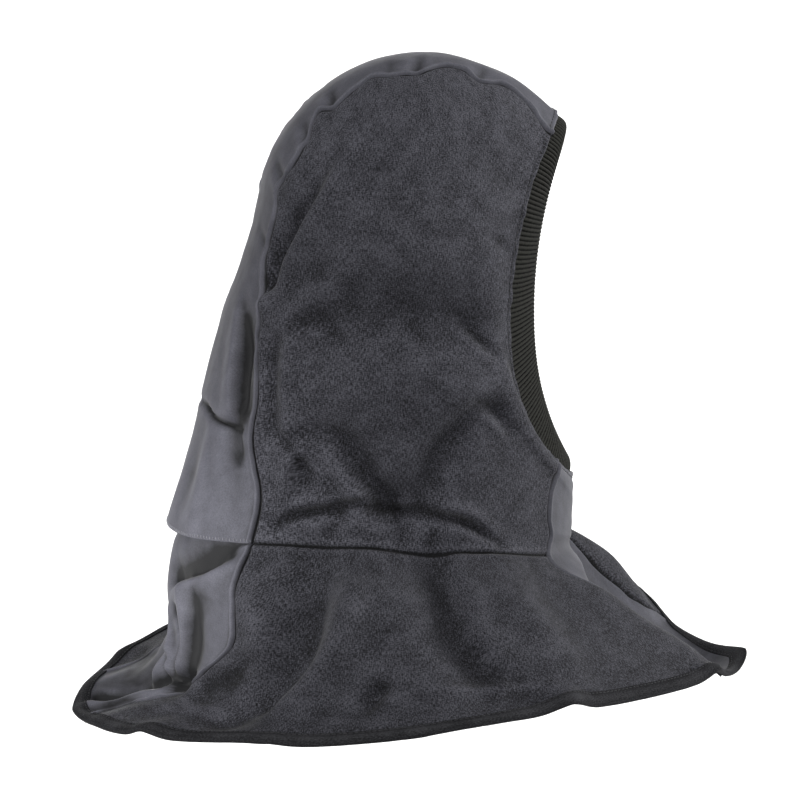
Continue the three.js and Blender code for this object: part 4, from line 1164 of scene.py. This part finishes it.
class HOOD_OT_hem_binding(bpy.types.Operator):
    """Make the binding folded over the hem, with its stitch row"""

    bl_idname = "hood.hem_binding"
    bl_label = "Hem binding"

    def execute(self, context):
        sizes = context.scene.hood_sizes
        wall, cloth = sizes.binding_thickness / MM, sizes.cloth_thickness / MM
        share = np.linspace(-1, 1, BINDING_COLUMNS, endpoint=False)
        hem, above = np.full(BINDING_COLUMNS, HEM), np.full(BINDING_COLUMNS, HEM - HEM_STEP)
        step = np.linalg.norm(plain(hem, share) - plain(above, share), axis=-1)
        ring = HEM - BINDING_RISE * sizes.binding_height / MM * HEM_STEP / step[:, None]
        grid_share = np.broadcast_to(share[:, None], ring.shape)
        flat, out = plain(ring, grid_share), outwards(ring, grid_share)
        place = flat + out * fold_height(ring, flat)[..., None]
        down = unit(place[:, -1] - place[:, -3])
        swell = BINDING_SWELL * (wall + BINDING_AIR)
        bumps = ripples(place, BINDING_BUMPS)
        face = place + out * (swell + FACE_BUMPS * bumps)[..., None]
        under = (BINDING_UNDER + UNDER_BUMPS * bumps[:, -1])[:, None]
        foot = [place[:, -1] + down * under * sink + out[:, -1] * height for sink, height in BINDING_FOOT]
        back = place - out * (cloth + swell)[..., None]
        pocket_face, pocket_back = place + BINDING_GAP * out, place - (cloth + BINDING_GAP) * out
        pocket = np.concatenate([pocket_back[:, ::2], pocket_face[:, ::-2]], 1)
        section = np.concatenate([face, np.stack(foot, 1), back[:, ::-1], pocket], 1)
        across = lengths(section, 1)
        around = lengths(section[:, FULL_LINE:FULL_LINE + 1], 0)
        uv = np.stack([np.broadcast_to(around, across.shape), across], -1) * MM
        # The binding's face is painted paler as a highlight where it swells and bumps out, and its inside
        # darker as shade
        light_paint = np.full(across.shape, INSIDE_PAINTED_SHADE)
        light_paint[:, :len(swell)] = swell / swell.max() + FACE_PAINTED_LIGHT_SHIFT + BUMP_PAINTED_LIGHT * bumps
        binding = make_mesh("hem_binding_strip", section.reshape(-1, 3), ring_faces(*section.shape[:2]),
                            uv.reshape(-1, 2), cloth_material("dark_jersey_binding_knit"), light_paint)
        dress(binding, "hem_binding")
        closed = np.append(np.arange(BINDING_COLUMNS), 0)
        runs = running_stitches(face[closed, STITCHED_LINE], out[closed, STITCHED_LINE],
                                sizes.stitch / MM, sizes.stitch_gap / MM)
        stitches = stitches_piece("hem_stitches", runs, sizes.thread / MM, cloth_material("dark_spun_thread"))
        dress(stitches, None)
        return {"FINISHED"}


# Softboxes by compass: azimuth 0 stands in front of the face, 270 on the wearer's right; degrees.
Softbox = namedtuple("Softbox", "name azimuth elevation spread strength")
SOFTBOXES = [
    Softbox("key_softbox", 262, 22, 16, 0.50),
    Softbox("back_softbox", 180, 6, 16, 0.16),
    Softbox("front_softbox", 3, 8, 30, 0.95),
    Softbox("top_softbox", 250, 70, 30, 0.32),
    Softbox("left_softbox", 82, 5, 30, 0.42),
]
# A small lamp low behind the hood, on the flap and the back panel. Places in metres, cone in degrees.
Spot = namedtuple("Spot", "name azimuth elevation target distance cone soft strength")
NAPE_LAMP = Spot("nape_lamp", 210, 8, (-0.03, 0.14, -0.345), 2.0, 9, 0.10, 1.0)
FLOOR_LIGHT = Softbox("floor_light", 0, 90, 30, 1.2)
STUDIO_GLOW = 0.03
# Half the floor's width and its level, in metres
FLOOR_HALF, FLOOR_LEVEL = 80.0, -0.75
# The camera by the same compass. Target and distance in metres, lens and sensor in millimetres.
CAMERA_AZIMUTH, CAMERA_ELEVATION = 260, 10
CAMERA_TARGET, CAMERA_DISTANCE = (0, 0, -0.232), 1.8
CAMERA_LENS, CAMERA_SENSOR = 119.1, 36


def look(scene, data, azimuth, elevation, target=(0, 0, 0), distance=0):
    """Places a lamp or the camera by compass, looking at its target."""
    a, e = math.radians(azimuth), math.radians(elevation)
    towards = Vector((math.sin(a) * math.cos(e), -math.cos(a) * math.cos(e), math.sin(e)))
    placed = bpy.data.objects.new(data.name, data)
    placed.location = Vector(target) + towards * distance
    placed.rotation_euler = (-towards).to_track_quat("-Z", "Y").to_euler()
    scene.collection.objects.link(placed)
    return placed


class HOOD_OT_stage(bpy.types.Operator):
    """Make the pale floor, the soft lights and the camera"""

    bl_idname = "hood.stage"
    bl_label = "Stage"

    def execute(self, context):
        scene = context.scene
        mesh = bpy.data.meshes.new("floor")
        corners = ((-1, -1), (1, -1), (1, 1), (-1, 1))
        points = [(x * FLOOR_HALF, y * FLOOR_HALF, FLOOR_LEVEL) for x, y in corners]
        mesh.from_pydata(points, [], [(0, 1, 2, 3)])
        mesh.materials.append(cloth_material("white_board_painted"))
        floor = bpy.data.objects.new("floor", mesh)
        scene.collection.objects.link(floor)
        floor.visible_diffuse = False
        self.surround(scene)
        for light in SOFTBOXES:
            self.softbox(scene, light)
        self.spot(scene, NAPE_LAMP)
        over_floor = self.softbox(scene, FLOOR_LIGHT)
        lit = bpy.data.collections.new("lit_floor")
        lit.objects.link(floor)
        over_floor.light_linking.receiver_collection = lit
        scene.view_settings.view_transform = "Standard"
        lens = bpy.data.cameras.new("photo_camera")
        lens.lens = CAMERA_LENS
        lens.sensor_width = CAMERA_SENSOR
        scene.camera = look(scene, lens, CAMERA_AZIMUTH, CAMERA_ELEVATION, CAMERA_TARGET, CAMERA_DISTANCE)
        return {"FINISHED"}

    def softbox(self, scene, light):
        """A far softbox that shines on the hood from its place."""
        lamp = bpy.data.lights.new(light.name, "SUN")
        lamp.energy = math.pi * light.strength
        lamp.angle = math.radians(light.spread)
        return look(scene, lamp, light.azimuth, light.elevation)

    def spot(self, scene, light):
        """A lamp with a soft-edged cone, as bright on its target as a softbox of the same strength."""
        lamp = bpy.data.lights.new(light.name, "SPOT")
        lamp.energy = 4 * math.pi * light.distance**2 * math.pi * light.strength
        lamp.spot_size = math.radians(light.cone)
        lamp.spot_blend = 1.0
        lamp.shadow_soft_size = light.soft
        return look(scene, lamp, light.azimuth, light.elevation, light.target, light.distance)

    def surround(self, scene):
        """A white studio that shows white and gives little light of its own."""
        world = bpy.data.worlds.new("white_studio")
        world.use_nodes = True
        tree = world.node_tree
        tree.nodes.clear()
        shown = add(tree, "ShaderNodeBackground", Color=(1, 1, 1, 1), Strength=1.0)
        lit = add(tree, "ShaderNodeBackground", Color=(1, 1, 1, 1), Strength=STUDIO_GLOW)
        seen = add(tree, "ShaderNodeLightPath").outputs["Is Camera Ray"]
        mixed = add(tree, "ShaderNodeMixShader", _0=seen, _1=lit.outputs[0], _2=shown.outputs[0])
        add(tree, "ShaderNodeOutputWorld", Surface=mixed.outputs[0])
        scene.world = world


PIECES = (
    "crown_band", "side_panels", "front_panel", "back_panel", "capes", "face_cuff", "hem_binding", "stage",
)


class HOOD_PT_pieces(bpy.types.Panel):
    """Pieces, sizes and colours of the hood"""

    bl_idname = "HOOD_PT_pieces"
    bl_label = "Welding hood"
    bl_space_type = "VIEW_3D"
    bl_region_type = "UI"
    bl_category = "Hood"

    def draw(self, context):
        for piece in PIECES:
            self.layout.operator(f"hood.{piece}")
        for group in (context.scene.hood_sizes, context.scene.hood_colours):
            for name in group.bl_rna.properties.keys():
                if name not in ("rna_type", "name"):
                    self.layout.prop(group, name)


CLASSES = (
    HoodSizes, HoodColours, HOOD_OT_crown_band, HOOD_OT_side_panels, HOOD_OT_front_panel, HOOD_OT_back_panel,
    HOOD_OT_capes, HOOD_OT_face_cuff, HOOD_OT_hem_binding, HOOD_OT_stage, HOOD_PT_pieces,
)


def register():
    for cls in CLASSES:
        bpy.utils.register_class(cls)
    bpy.types.Scene.hood_sizes = bpy.props.PointerProperty(type=HoodSizes)
    bpy.types.Scene.hood_colours = bpy.props.PointerProperty(type=HoodColours)


def unregister():
    del bpy.types.Scene.hood_sizes
    del bpy.types.Scene.hood_colours
    for cls in reversed(CLASSES):
        bpy.utils.unregister_class(cls)


def main():
    register()
    for piece in PIECES:
        getattr(bpy.ops.hood, piece)()


if __name__ == "__main__":
    main()
